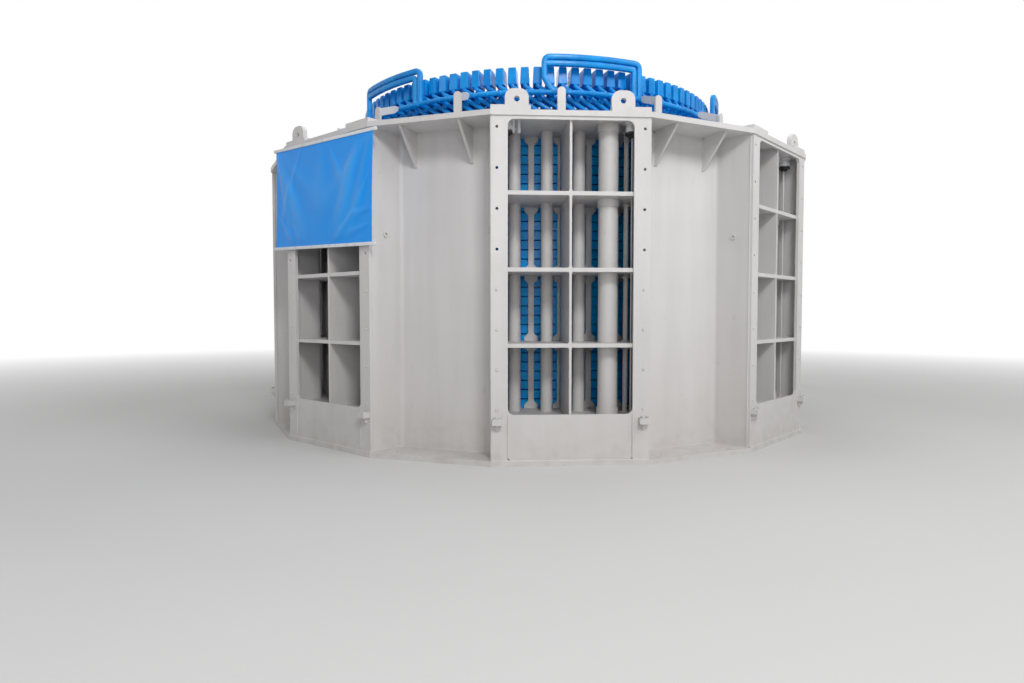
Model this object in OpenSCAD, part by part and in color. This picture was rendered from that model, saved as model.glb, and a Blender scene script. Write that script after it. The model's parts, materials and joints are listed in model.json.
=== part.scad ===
// Stator of a vertical hydroelectric generator: a sixteen-sided welded frame
// with eight cooler windows and eight recessed panels round a laminated core
// and its winding. The front window faces -Y, +Z is up, and the origin is the
// centre of the bottom face. All sizes are in millimetres.

/* [Frame] */
// Depth of the frame from the core's back to the window faces
frame_depth = 648; // [620:2:680]
// Width of each window face
window_w = 1180; // [1120:10:1220]
// Height of the frame from the bottom face to the top face
frame_h = 2600; // [2560:10:2700]
// Thickness of the bottom and top ring plates
plate_t = 40; // [25:1:50]
// How far the ring plates stand out past the frame
plate_lip = 12; // [0:1:20]
// Distance from the core's back to the bottom plate's inner edge
bottom_back = 68; // [50:1:100]
// Thickness of the ring shelves
shelf_t = 30; // [20:1:45]
// Height of the lowest shelf's top face
sill_z = 345; // [320:5:380]
// Height from one shelf's top face to the next
shelf_pitch = 560; // [540:5:570]

/* [Windows] */
// Thickness of the window frame plate
frame_t = 25; // [16:1:30]
// Width of each post beside the opening
post_w = 125; // [110:5:150]
// Height of the header strip under the top plate
header_h = 25; // [15:1:60]
// Corner radius of the opening
opening_r = 48; // [30:1:60]
// Height of the lower closing plate's top edge above the lowest shelf
closing_rise = 35; // [15:5:60]
// Thickness of the lower closing plate
closing_t = 20; // [12:1:24]
// Radius of the weld relief at the closing plate's lower corners
relief_r = 14; // [8:1:20]
// Diameter of the cooler bolt holes in the posts
bolt_d = 22; // [16:1:30]
// Distance of the bolt holes from the window's outer edge
bolt_edge = 46; // [35:1:60]
// Height of the lowest bolt hole above the lowest shelf
bolt_rise = 75; // [55:5:105]
// Distance of the highest bolt hole below the frame's top face
bolt_drop = 122; // [95:1:150]
// Number of bolt holes in each post
bolt_count = 8; // [4:1:8]
// Thickness of the vertical rib in each window
rib_t = 18; // [12:1:30]
// Depth of the vertical rib
rib_depth = 550; // [450:5:570]

/* [Recessed panels] */
// Thickness of the bent panel
panel_t = 14; // [8:1:20]
// Depth of the panel's side walls, from the window face
wall_depth = 320; // [250:5:340]
// Inside radius of the panel's bends
bend_r = 45; // [20:1:60]
// Thickness of the triangular gussets
gusset_t = 20; // [12:1:26]
// Length and height of the gussets
gusset_length = 270; // [200:5:280]
// Distance of each gusset from the panel's centre line
gusset_x = 242; // [200:1:260]
// Size of the weld notch in the gusset's corner
gusset_notch = 24; // [15:1:40]
// Outer diameter of the earthing boss on each side wall
boss_d = 44; // [34:1:60]
// Hole diameter of the earthing boss
boss_hole_d = 25; // [12:1:28]
// Distance of the earthing bosses below the frame's top face
boss_drop = 850; // [700:10:1000]
// How far the bosses stand out
boss_h = 12; // [8:1:20]

/* [Fittings on the frame] */
// Length of the pads on the top plate at the window corners
pad_l = 292; // [285:1:320]
// Depth of the corner pads
pad_w = 130; // [110:5:160]
// Thickness of the corner pads
pad_t = 35; // [20:1:40]
// Width of the lifting lugs
lug_w = 175; // [150:5:180]
// Height of the lifting lugs
lug_h = 137; // [130:1:170]
// Thickness of the lifting lugs
lug_t = 40; // [30:1:50]
// Corner radius of the lifting lugs
lug_r = 65; // [40:1:80]
// Diameter of the lifting lugs' holes
lug_hole_d = 42; // [30:1:60]
// Height of the lug's hole above its foot
lug_hole_z = 62; // [50:1:75]
// Distance of the lugs from the window face
lug_back = 60; // [40:1:80]
// Distance of the front lugs from the window's outer edge
lug_in_front = 195; // [90:1:200]
// Distance of the side lugs from their window's outer edge
lug_in_side = 90; // [88:1:190]
// Width of the cooler support brackets
support_w = 75; // [60:1:90]
// How far the cooler support brackets stand out
support_out = 60; // [40:1:80]
// Height of the cooler support brackets' block
support_h = 45; // [30:1:60]
// Height of the cooler support brackets' top face above the lowest shelf
support_rise = 11; // [0:1:35]
// Diameter of the anchor holes in the bottom plate
anchor_d = 26; // [18:1:36]
// Distance of the left anchor holes from the panel's outer corners' line
anchor_in_left = 72; // [62:1:82]
// Distance of the right anchor holes from the panel's outer corners' line
anchor_in_right = 47; // [40:1:52]
// Angle of the anchor holes from the panel's centre line
anchor_angle = 6.9; // [5:0.1:7.5]

/* [Inside the frame] */
// Number of key bars and of tie rods round the core
key_count = 56; // [48:8:64]
// Width of a key bar's heads
key_head_w = 111; // [90:1:130]
// Width of a key bar's web
key_web_w = 45; // [30:1:60]
// Height of a key bar's flared end
key_flare = 62; // [40:1:90]
// Height of the square head within that end
key_shoulder = 28; // [6:1:34]
// Radial thickness of the key bars
key_t = 40; // [25:1:50]
// Distance of the tie rods behind the core's back
rod_back = 198; // [190:2:245]
// Outer diameter of the tie rod sleeves
sleeve_d = 96; // [70:1:100]
// Diameter of the tie rods
rod_d = 42; // [30:1:50]
// Height of the tie rod ends above the top plate
rod_end_h = 140; // [100:5:160]
// Width across the tie rod nut's corners
nut_d = 76; // [60:1:90]
// Height of the tie rod nuts
nut_h = 38; // [25:1:50]
// Outer diameter of the water pipes
pipe_d = 150; // [120:1:170]
// Distance of the water pipes' centre line from the right post
pipe_in = 150; // [130:5:200]
// Distance of the water pipes behind the window face
pipe_back = 212; // [200:2:220]
// How far the water pipes' collars stand out from the pipe
collar_over = 8; // [3:1:25]
// Height of the water pipes' collars
collar_h = 60; // [20:1:80]
// Clearance round the water pipes in the shelves
pipe_gap = 3; // [1:0.5:6]
// Thickness of the ribs between the bottom plate and the lowest shelf
base_rib_t = 30; // [20:1:40]
// Radial length of those ribs
base_rib_l = 240; // [180:5:260]

/* [Core] */
// Radius of the bore
bore_r = 1680; // [1660:5:1690]
// Distance of the core's top face below the frame's top face
core_drop = 70; // [60:5:150]
// Height of one packet of laminations with its duct
packet_pitch = 77.3; // [75:0.1:90]
// Height of the ventilating ducts
duct_h = 11; // [6:1:14]
// Depth of the ducts seen at the core's back
duct_depth = 60; // [30:5:90]
// Number of slots
slot_count = 108; // [96:12:108]
// Width of the slots
slot_w = 42; // [36:1:46]
// Depth of the slots
slot_depth = 200; // [190:1:220]
// Depth of the core behind the slots
yoke_depth = 212; // [195:1:230]
// Thickness of the clamping ring on the core
clamp_t = 45; // [30:1:50]

/* [Winding] */
// Depth kept for the wedges in front of the coil bars
wedge_depth = 42; // [36:1:48]
// Clearance behind the coil bars in their slots
slot_back_gap = 12; // [8:1:16]
// Radial depth of each layer of end bars
layer_d = 50; // [40:1:52]
// Thickness of the slanting end bars
end_bar_t = 34; // [24:1:36]
// Height above the frame's top face where the upper end bars leave the straight bars
top_turn_rise = 40; // [20:5:80]
// Height that the upper end bars rise by to the caps
top_bar_rise = 440; // [400:5:480]
// Slot pitches that an upper end bar leans by
top_lean = 6; // [5:1:7]
// Distance below the lowest shelf's top where the lower end bars leave the straight bars
low_turn_drop = 60; // [45:5:75]
// Height that the lower end bars fall by to the caps
low_bar_drop = 190; // [170:5:200]
// Slot pitches that a lower end bar leans by
low_lean = 3; // [2:1:3]
// Width of a coil cap at its foot
cap_w = 80; // [50:1:86]
// Width of a coil cap at its crown
cap_crown_w = 66; // [40:1:78]
// Height of the upper coil caps
top_cap_h = 145; // [120:5:180]
// Height of the lower coil caps
low_cap_h = 75; // [60:1:80]
// Tube diameter of the winding support rings
ring_d = 40; // [30:1:44]
// Distance of the upper support ring's centre line outside the coil bars
ring_out = 77; // [70:1:90]
// Distance of the upper support ring below the caps
ring_drop = 95; // [75:5:120]
// Number of brackets that hold the upper support ring
bracket_count = 16; // [8:8:16]
// Distance of those brackets' outer face from the core's back
bracket_out = 103; // [95:1:120]
// Width of those brackets
bracket_w = 66; // [50:1:80]
// Plate thickness of those brackets
bracket_t = 20; // [12:1:24]
// Distance of those brackets' top below the ring
bracket_drop = 35; // [20:5:60]
// Height of the ring bus bars' top face above the support ring
bus_rise = 315; // [300:5:360]
// Height of a bus bar
bus_h = 48; // [30:1:50]
// Radial thickness of a bus bar
bus_t = 44; // [30:1:50]
// Clear height between the two rails of a bus
bus_gap = 6; // [4:1:30]

/* [Banner] */
// Width of the sheet hung over one window
banner_w = 1400; // [1200:10:1450]
// Height of the sheet
banner_h = 910; // [800:10:950]
// Thickness of the sheet
banner_t = 6; // [4:1:8]
// Distance of the sheet's top edge below the frame's top face
banner_drop = 33; // [25:1:38]
// How far the sheet's free end reaches past the window's edge
banner_reach = 220; // [190:5:260]
// How far the battens stand out past the sheet's sides
batten_over = 34; // [10:1:50]
// Height of the battens in the sheet's hems
batten_h = 26; // [20:1:40]
// Thickness of the battens
batten_t = 14; // [8:1:20]

/* [Hidden] */

$fn = 96;
// A hair that flat pieces pass each other by in a cut
eps = 1;
// The gap at which a flat piece seats against a round one
seat_gap = 0.3;
// How far the inner layer's ends sit behind the straight bars' inner face
layer_inset = 4;
side_count = 8;
side_angle = 360 / side_count;

slot_bottom_r = bore_r + slot_depth;
core_r = slot_bottom_r + yoke_depth;
bottom_in_r = core_r + bottom_back;
rod_r = core_r + rod_back;
face_y = core_r + frame_depth;
corner_r = sqrt(pow(face_y, 2) + pow(window_w / 2, 2));
window_half_angle = atan(window_w / 2 / face_y);
blank_half_angle = side_angle / 2 - window_half_angle;
blank_face_y = corner_r * cos(blank_half_angle);
blank_half_w = corner_r * sin(blank_half_angle);
top_under_z = frame_h - plate_t;
shelf_count = 4;
anchor_r_left = blank_face_y - anchor_in_left;
anchor_r_right = blank_face_y - anchor_in_right;
header_z = top_under_z - header_h;
opening_half_w = window_w / 2 - post_w;
closing_top_z = sill_z + closing_rise;
bolt_z = sill_z + bolt_rise;
bolt_pitch = (frame_h - bolt_drop - bolt_z) / (bolt_count - 1);
boss_z = frame_h - boss_drop;
lug_x_front = window_w / 2 - lug_in_front;
lug_x_side = window_w / 2 - lug_in_side;
support_top_z = sill_z + support_rise;
pipe_x = opening_half_w - pipe_in;
core_top_z = frame_h - core_drop;
top_turn_z = frame_h + top_turn_rise;
top_cap_z = top_turn_z + top_bar_rise;
low_turn_z = sill_z - low_turn_drop;
low_cap_z = low_turn_z - low_bar_drop;
ring_z = top_cap_z - ring_drop;
bracket_h = ring_z - bracket_drop - frame_h;
bus_top_z = ring_z + bus_rise;
banner_top_z = frame_h - banner_drop;

frame_color = [0.87, 0.86, 0.84];
winding_color = [0.05, 0.42, 0.83];
core_color = [0.08, 0.36, 0.72];
dark_color = [0.18, 0.19, 0.21];

// Top face of shelf number i, counted from 1
function shelf_z(i) = sill_z + (i - 1) * shelf_pitch;
// Lower and upper end of the bay above shelf number i
function bay_low(i) = shelf_z(i);
function bay_high(i) = i < shelf_count ? shelf_z(i + 1) - shelf_t : top_under_z;

function unit(v) = v / norm(v);
function turned(p, a) = [p.x * cos(a) - p.y * sin(a), p.x * sin(a) + p.y * cos(a)];
function reversed(list) = [for (i = [len(list) - 1:-1:0]) list[i]];
function mirrored(list) = [for (p = reversed(list)) [-p.x, p.y]];

// Points of a round bend of radius r at corner b, between the lines to a and c
bend_steps = 6;
function bend(a, b, c, r) =
    let (
        u = unit(a - b),
        v = unit(c - b),
        half = acos(u * v) / 2,
        centre = b + unit(u + v) * r / sin(half),
        p = b + u * r / tan(half) - centre,
        q = b + v * r / tan(half) - centre,
        start = atan2(p.y, p.x),
        sweep = (atan2(q.y, q.x) - start + 540) % 360 - 180
    )
    [for (k = [0:bend_steps]) centre + r * [cos(start + sweep * k / bend_steps),
                                             sin(start + sweep * k / bend_steps)]];

// Left half of a recessed panel's path, offset by o towards the frame's inside
function panel_half(o) =
    let (
        along = [sin(side_angle / 2), cos(side_angle / 2)],
        inward = [-cos(side_angle / 2), sin(side_angle / 2)],
        corner = [-blank_half_w, -blank_face_y],
        foot = corner + along * frame_t + inward * o,
        knee = corner + along * wall_depth + o * [-tan((90 - side_angle / 2) / 2), 1],
        middle = [0, knee.y]
    )
    concat([foot], bend(foot, knee, middle, bend_r + o));
function panel_path(o) = concat(panel_half(o), mirrored(panel_half(o)));

web_y = panel_half(0)[bend_steps + 1].y;

// Outline that the shelves fill, just inside the windows and panels
shelf_outline = [
    for (i = [0:side_count - 1]) each [
        for (p = panel_path(panel_t)) turned(p, (i + 0.5) * side_angle)
    ]
];

// Outline of the two ring plates
plate_outline = [
    for (i = [0:side_count - 1], side = [-1, 1])
        turned([0, -corner_r - plate_lip], i * side_angle + side * window_half_angle)
];

// Children placed at one window, or at every window
module at_window(i) {
    rotate([0, 0, i * side_angle]) children();
}
module at_windows() {
    for (i = [0:side_count - 1]) at_window(i) children();
}
module at_panels() {
    for (i = [0:side_count - 1]) rotate([0, 0, (i + 0.5) * side_angle]) children();
}
module both_sides() {
    children();
    mirror([1, 0, 0]) children();
}
// Children repeated round the axis
module around(count, phase = 0) {
    for (i = [0:count - 1]) rotate([0, 0, phase + i * 360 / count]) children();
}
// A plate in the window's plane: drawn in x and z, its outer face at distance y
module upright(y, t) {
    translate([0, t - y, 0]) rotate([90, 0, 0]) linear_extrude(t) children();
}
// A plate along the radius: drawn in y and z, centred on x
module radial(t) {
    translate([-t / 2, 0, 0]) rotate([90, 0, 90]) linear_extrude(t) children();
}

// One half of the bottom ring plate, at the front or the back
module bottom_plate(side) {
    color(frame_color) linear_extrude(plate_t) difference() {
        polygon(plate_outline);
        circle(bottom_in_r);
        translate([-2 * corner_r, side * corner_r - corner_r]) square([4 * corner_r, 2 * corner_r]);
        at_panels() {
            rotate(-anchor_angle) translate([0, -anchor_r_left]) circle(d = anchor_d);
            rotate(anchor_angle) translate([0, -anchor_r_right]) circle(d = anchor_d);
        }
    }
}

module top_plate() {
    color(frame_color) translate([0, 0, top_under_z]) linear_extrude(plate_t) difference() {
        polygon(plate_outline);
        circle(core_r + 8);
    }
}

module pipe_place() {
    at_windows() translate([pipe_x, pipe_back - face_y, 0]) children();
}

module shelf(i) {
    inner_r = i == 1 ? slot_bottom_r + 20 : core_r + 8;
    color(frame_color) translate([0, 0, shelf_z(i) - shelf_t]) linear_extrude(shelf_t) difference() {
        polygon(shelf_outline);
        circle(inner_r);
        if (i > 1) pipe_place() circle(d = pipe_d + 2 * pipe_gap);
    }
}

module opening_2d() {
    translate([-opening_half_w, 0]) square([2 * opening_half_w, header_z - opening_r]);
    translate([opening_r - opening_half_w, 0]) square([2 * (opening_half_w - opening_r), header_z]);
    both_sides() translate([opening_half_w - opening_r, header_z - opening_r]) circle(opening_r);
}

bolt_x = window_w / 2 - bolt_edge;
module window_frame(i) {
    color(frame_color) at_window(i) upright(face_y, frame_t) difference() {
        translate([-window_w / 2, plate_t]) square([window_w, top_under_z - plate_t]);
        opening_2d();
        for (k = [0:bolt_count - 1])
            both_sides() translate([bolt_x, bolt_z + k * bolt_pitch]) circle(d = bolt_d);
    }
}

// The closing plate's ears carry the opening's round lower corners
module closing_plates() {
    color(frame_color) at_windows() upright(face_y - (frame_t - closing_t) / 2, closing_t) difference() {
        union() {
            translate([-opening_half_w, plate_t]) square([2 * opening_half_w, closing_top_z - plate_t]);
            both_sides() difference() {
                translate([opening_half_w - opening_r, closing_top_z - eps]) square([opening_r, opening_r + eps]);
                translate([opening_half_w - opening_r, closing_top_z + opening_r]) circle(opening_r);
            }
        }
        both_sides() translate([opening_half_w, plate_t]) circle(relief_r);
    }
}

module window_ribs() {
    color(frame_color) at_windows() for (i = [1:shelf_count])
        translate([-rib_t / 2, frame_t - face_y, bay_low(i)])
            cube([rib_t, rib_depth, bay_high(i) - bay_low(i)]);
}

module base_ribs() {
    color(frame_color) around(2 * side_count)
        translate([-base_rib_t / 2, -bottom_in_r - base_rib_l, plate_t])
            cube([base_rib_t, base_rib_l, sill_z - shelf_t - plate_t]);
}

module recessed_panel(i) {
    color(frame_color) rotate([0, 0, (i + 0.5) * side_angle]) translate([0, 0, plate_t])
        linear_extrude(top_under_z - plate_t)
            polygon(concat(panel_path(0), reversed(panel_path(panel_t))));
}

module top_gussets() {
    color(frame_color) at_panels() both_sides() translate([gusset_x, web_y, top_under_z])
        radial(gusset_t) polygon([
            [-gusset_notch, 0], [-gusset_length, 0], [-gusset_length, -gusset_notch / 2],
            [-gusset_notch / 2, -gusset_length], [0, -gusset_length], [0, -gusset_notch]
        ]);
}

module earthing_bosses() {
    color(frame_color) at_windows() both_sides()
        translate([window_w / 2, wall_depth / 2 - face_y, boss_z]) rotate([0, 90, 0])
            difference() {
                cylinder(h = boss_h, d = boss_d);
                translate([0, 0, -eps]) cylinder(h = boss_h + 2 * eps, d = boss_hole_d);
            }
}

module corner_pads() {
    color(frame_color) at_windows() both_sides()
        translate([window_w / 2 - pad_l, -face_y, frame_h]) cube([pad_l, pad_w, pad_t]);
}

module lug() {
    upright(face_y - lug_back, lug_t) translate([0, frame_h + pad_t]) difference() {
        union() {
            translate([-lug_w / 2, 0]) square([lug_w, lug_h - lug_r]);
            translate([lug_r - lug_w / 2, 0]) square([lug_w - 2 * lug_r, lug_h]);
            both_sides() translate([lug_w / 2 - lug_r, lug_h - lug_r]) circle(lug_r);
        }
        translate([0, lug_hole_z]) circle(d = lug_hole_d);
    }
}

// Two lugs over the front and back windows, one over each slanting window
module lifting_lugs() {
    color(frame_color) for (half = [0, 180]) rotate([0, 0, half]) both_sides() {
        translate([lug_x_front, 0, 0]) lug();
        at_window(1) translate([lug_x_side, 0, 0]) lug();
    }
}

module cooler_supports() {
    toe = support_h / 3;
    color(frame_color) at_windows() both_sides() translate([bolt_x, -face_y, support_top_z]) {
        translate([-support_w / 2, -support_out, -support_h]) cube([support_w, support_out, support_h]);
        radial(frame_t) polygon([
            [0, -support_h], [-support_out + toe, -support_h], [-toe, -2 * support_h], [0, -2 * support_h]
        ]);
    }
}

// Each pipe has a collar on the lowest shelf, one under the highest shelf and one
// under the top plate
module water_pipes() {
    collar_top_z = shelf_z(shelf_count) - shelf_t;
    color(frame_color) pipe_place() {
        translate([0, 0, sill_z]) cylinder(h = top_under_z - sill_z, d = pipe_d);
        for (z = [sill_z, collar_top_z - collar_h, top_under_z - collar_h])
            translate([0, 0, z]) cylinder(h = collar_h, d = pipe_d + 2 * collar_over);
    }
}

// Bone-shaped bar with flared heads, standing in the bay above shelf number i
module key_bar(i) {
    h = bay_high(i) - bay_low(i);
    half = [
        [key_head_w / 2, 0], [key_head_w / 2, key_shoulder], [key_web_w / 2, key_flare],
        [key_web_w / 2, h - key_flare], [key_head_w / 2, h - key_shoulder], [key_head_w / 2, h]
    ];
    translate([0, 0, bay_low(i)]) upright(core_r + seat_gap + key_t, key_t)
        polygon(concat(half, mirrored(half)));
}

module key_bars() {
    color(frame_color) around(key_count) for (i = [1:shelf_count]) key_bar(i);
}

module tie_rod_sleeves() {
    color(frame_color) around(key_count, 180 / key_count) for (i = [1:shelf_count])
        translate([0, -rod_r, bay_low(i)]) cylinder(h = bay_high(i) - bay_low(i), d = sleeve_d);
}

module tie_rod_ends() {
    color(dark_color) around(key_count, 180 / key_count) translate([0, -rod_r, frame_h]) {
        cylinder(h = nut_h, d = nut_d, $fn = 6);
        cylinder(h = rod_end_h, d = rod_d);
    }
}

packet_count = floor((core_top_z - sill_z) / packet_pitch);
module core_profile() {
    difference() {
        translate([bore_r, sill_z]) square([core_r - bore_r, core_top_z - sill_z]);
        for (k = [1:packet_count])
            translate([core_r - duct_depth, sill_z + k * packet_pitch - duct_h])
                square([duct_depth + eps, duct_h]);
    }
}

core_sectors = 4;
sector_angle = 360 / core_sectors;
slots_in_sector = slot_count / core_sectors;
module core_sector(i) {
    color(core_color) rotate([0, 0, i * sector_angle]) difference() {
        rotate_extrude(angle = sector_angle) core_profile();
        for (k = [0:slots_in_sector - 1]) rotate([0, 0, (k + 0.5) * 360 / slot_count])
            translate([bore_r - 50, -slot_w / 2, sill_z - eps])
                cube([slot_bottom_r - bore_r + 50, slot_w, core_top_z - sill_z + 2 * eps]);
    }
}

module core_clamp_ring() {
    color(winding_color) translate([0, 0, core_top_z]) linear_extrude(clamp_t) difference() {
        circle(core_r - 6);
        circle(slot_bottom_r + 12);
    }
}

// The straight bars' inner and outer faces meet the ends of the two slanting layers
top_half_lean = top_lean * 180 / slot_count;
bar_in_r = bore_r + wedge_depth;
bar_out_r = slot_bottom_r - slot_back_gap;
inner_layer_r = bar_in_r * cos(top_half_lean) + layer_inset;
outer_layer_r = bar_out_r * cos(top_half_lean) - layer_d;
ring_r = bar_out_r + ring_out;
bracket_r = core_r + bracket_out;
bar_w = slot_w - 2 * seat_gap;
slot_phase = 180 / slot_count;

module slot_bars() {
    color(winding_color) around(slot_count, slot_phase)
        translate([-bar_w / 2, -bar_out_r, low_turn_z])
            cube([bar_w, bar_out_r - bar_in_r, top_turn_z - low_turn_z]);
}

// One layer of slanting bars between heights z0 and z1; lean is in slot pitches,
// positive when the upper end is turned clockwise from above
module end_bars(layer_r, z0, z1, lean) {
    half_lean = abs(lean) * 180 / slot_count;
    run = 2 * (layer_r + layer_d / 2) * tan(half_lean);
    rise = z1 - z0;
    slope = atan(rise / run);
    length = norm([run, rise]) + 3 * end_bar_t / tan(slope);
    around(slot_count, slot_phase - lean * 180 / slot_count) intersection() {
        translate([0, -layer_r - layer_d / 2, (z0 + z1) / 2])
            rotate([0, sign(lean) * slope, 0]) cube([length, layer_d, end_bar_t], center = true);
        translate([-run, -layer_r - 2 * layer_d, z0]) cube([2 * run, 3 * layer_d, rise]);
    }
}

module top_outer_end_bars() {
    color(winding_color) end_bars(outer_layer_r, top_turn_z, top_cap_z, top_lean);
}
module top_inner_end_bars() {
    color(winding_color) end_bars(inner_layer_r, top_turn_z, top_cap_z, -top_lean);
}
module low_outer_end_bars() {
    color(winding_color) end_bars(outer_layer_r, low_cap_z, low_turn_z, -low_lean);
}
module low_inner_end_bars() {
    color(winding_color) end_bars(inner_layer_r, low_cap_z, low_turn_z, low_lean);
}

// Tapered cap over the joint of an outer and an inner bar; h is negative below
module coil_cap(h) {
    upright(bar_out_r, bar_out_r - bar_in_r)
        polygon([[-cap_w / 2, 0], [cap_w / 2, 0], [cap_crown_w / 2, h], [-cap_crown_w / 2, h]]);
}
module top_coil_caps() {
    color(winding_color) around(slot_count, slot_phase) translate([0, 0, top_cap_z]) coil_cap(top_cap_h);
}
module low_coil_caps() {
    color(winding_color) around(slot_count, slot_phase * (1 + low_lean)) translate([0, 0, low_cap_z])
        coil_cap(-low_cap_h);
}

module support_ring() {
    color(winding_color) translate([0, 0, ring_z]) rotate_extrude()
        translate([ring_r, 0]) circle(d = ring_d, $fn = 24);
}

// Upright bracket on the top plate with an arm that reaches to the ring
module ring_brackets() {
    round_r = bracket_w / 2;
    arm_h = bracket_w;
    arm_top = frame_h + bracket_h - 10;
    ring_face = -ring_r - ring_d / 2 - seat_gap;
    color(frame_color) around(bracket_count) {
        upright(bracket_r, bracket_t) translate([0, frame_h]) {
            translate([-round_r, 0]) square([bracket_w, bracket_h - round_r]);
            translate([0, bracket_h - round_r]) circle(round_r);
        }
        radial(bracket_t) polygon([
            [-bracket_r + bracket_t, arm_top - arm_h], [-bracket_r + bracket_t, arm_top],
            [ring_face - 40, ring_z + 15], [ring_face, ring_z + 15], [ring_face, ring_z - 20],
            [ring_face - 40, ring_z + 15 - arm_h]
        ]);
    }
}

// Two rails with a single leg at their left end and a double one at their right
// end, standing on the support ring
module bus(from, to) {
    leg_a = 2 * asin(bus_t / 2 / ring_r);
    gap_a = 2 * asin(bus_gap / 2 / ring_r);
    span = to - from;
    leg_z = ring_z + ring_d / 2;
    low_rail_z = bus_top_z - 2 * bus_h - bus_gap;
    slit_z = bus_top_z - bus_h;
    color(winding_color) rotate([0, 0, from - 90]) difference() {
        rotate_extrude(angle = span) translate([ring_r - bus_t / 2, leg_z])
            square([bus_t, bus_top_z - leg_z]);
        bus_cut(leg_a, span - 2 * leg_a - gap_a, leg_z - eps, low_rail_z);
        bus_cut(leg_a, span - leg_a, slit_z - bus_gap, slit_z);
    }
}
// Room cut through a bus between two angles and two heights
module bus_cut(a0, a1, z0, z1) {
    rotate([0, 0, a0]) rotate_extrude(angle = a1 - a0)
        translate([ring_r - bus_t, z0]) square([2 * bus_t, z1 - z0]);
}

banner_back_y = (corner_r + plate_lip) * cos(window_half_angle) + seat_gap;
module banner_place() {
    at_window(-1) translate([-window_w / 2 - banner_reach, 0, banner_top_z - banner_h]) children();
}
module banner() {
    color([0.05, 0.36, 0.78]) banner_place() translate([0, -banner_back_y - batten_t - banner_t, 0])
        cube([banner_w, banner_t, banner_h]);
}
module banner_battens() {
    color([0.93, 0.94, 0.95]) banner_place() for (z = [0, banner_h - batten_h])
        translate([-batten_over, -banner_back_y - batten_t, z])
            cube([banner_w + 2 * batten_over, batten_t, batten_h]);
}

bottom_plate(1);  // bottom_plate_front
bottom_plate(-1);  // bottom_plate_back
top_plate();
shelf(1);  // shelf_1
shelf(2);  // shelf_2
shelf(3);  // shelf_3
shelf(4);  // shelf_4
window_frame(0);  // window_frame_1
window_frame(1);  // window_frame_2
window_frame(2);  // window_frame_3
window_frame(3);  // window_frame_4
window_frame(4);  // window_frame_5
window_frame(5);  // window_frame_6
window_frame(6);  // window_frame_7
window_frame(7);  // window_frame_8
recessed_panel(0);  // recessed_panel_1
recessed_panel(1);  // recessed_panel_2
recessed_panel(2);  // recessed_panel_3
recessed_panel(3);  // recessed_panel_4
recessed_panel(4);  // recessed_panel_5
recessed_panel(5);  // recessed_panel_6
recessed_panel(6);  // recessed_panel_7
recessed_panel(7);  // recessed_panel_8
closing_plates();
window_ribs();
base_ribs();
top_gussets();
earthing_bosses();
corner_pads();
lifting_lugs();
cooler_supports();
water_pipes();
key_bars();
tie_rod_sleeves();
tie_rod_ends();
core_sector(0);  // core_sector_1
core_sector(1);  // core_sector_2
core_sector(2);  // core_sector_3
core_sector(3);  // core_sector_4
core_clamp_ring();
slot_bars();
top_outer_end_bars();
top_inner_end_bars();
top_coil_caps();
low_outer_end_bars();
low_inner_end_bars();
low_coil_caps();
support_ring();
ring_brackets();
bus(-4, 22.5);  // bus_front
bus(-62, -36.5);  // bus_left
bus(58, 78);  // bus_right
banner();
banner_battens();
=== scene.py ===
"""Dresses the stator of a vertical hydroelectric generator for display.

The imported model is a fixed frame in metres: the front window faces -Y, +Z is up
and the origin is the centre of the bottom face. Each sub-assembly is a class with
its sizes as fields, and main() builds them one after another.
"""

import json
import logging
import math
from collections.abc import Sequence
from dataclasses import dataclass
from enum import Enum

import bmesh
import bpy
from mathutils import Matrix, Vector, noise


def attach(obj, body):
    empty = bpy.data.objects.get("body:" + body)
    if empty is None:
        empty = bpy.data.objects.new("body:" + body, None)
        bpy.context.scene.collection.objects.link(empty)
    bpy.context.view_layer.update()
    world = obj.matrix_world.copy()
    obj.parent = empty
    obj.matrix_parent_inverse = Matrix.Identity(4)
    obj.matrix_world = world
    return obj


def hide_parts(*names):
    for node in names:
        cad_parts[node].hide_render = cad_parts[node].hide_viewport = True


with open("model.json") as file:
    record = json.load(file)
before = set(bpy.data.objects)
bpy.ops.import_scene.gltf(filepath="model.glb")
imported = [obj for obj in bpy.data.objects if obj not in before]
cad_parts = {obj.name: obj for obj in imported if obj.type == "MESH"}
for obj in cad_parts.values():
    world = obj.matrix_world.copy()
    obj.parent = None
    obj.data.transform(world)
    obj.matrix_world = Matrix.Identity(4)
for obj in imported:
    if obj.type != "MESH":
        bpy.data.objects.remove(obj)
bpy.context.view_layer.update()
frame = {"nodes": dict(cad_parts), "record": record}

LOG = logging.getLogger("stator")
Colour = tuple[float, float, float]
Point = tuple[float, float, float]
Flat = tuple[float, float]

SIDES = 8  # windows, and as many recessed panels between them
SLOTS = 108  # slots of the core
FULL_TURN = 2 * math.pi
SIDE_TURN = FULL_TURN / SIDES
PITCH = FULL_TURN / SLOTS
WHITE = (1.0, 1.0, 1.0, 1.0)
SHARP_ANGLE = math.radians(38)  # steeper edges stay sharp on round pieces
ROUND_SHARE = 0.45  # the most of a straight run that one corner's round takes
UNDIVIDED = 9.0  # a stride in metres that is longer than any straight run
MIX_FIRST, MIX_SECOND, MIX_RESULT = 6, 7, 2  # the mix node's colour sockets


# ---- Sizes that several sub-assemblies share ----


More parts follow.
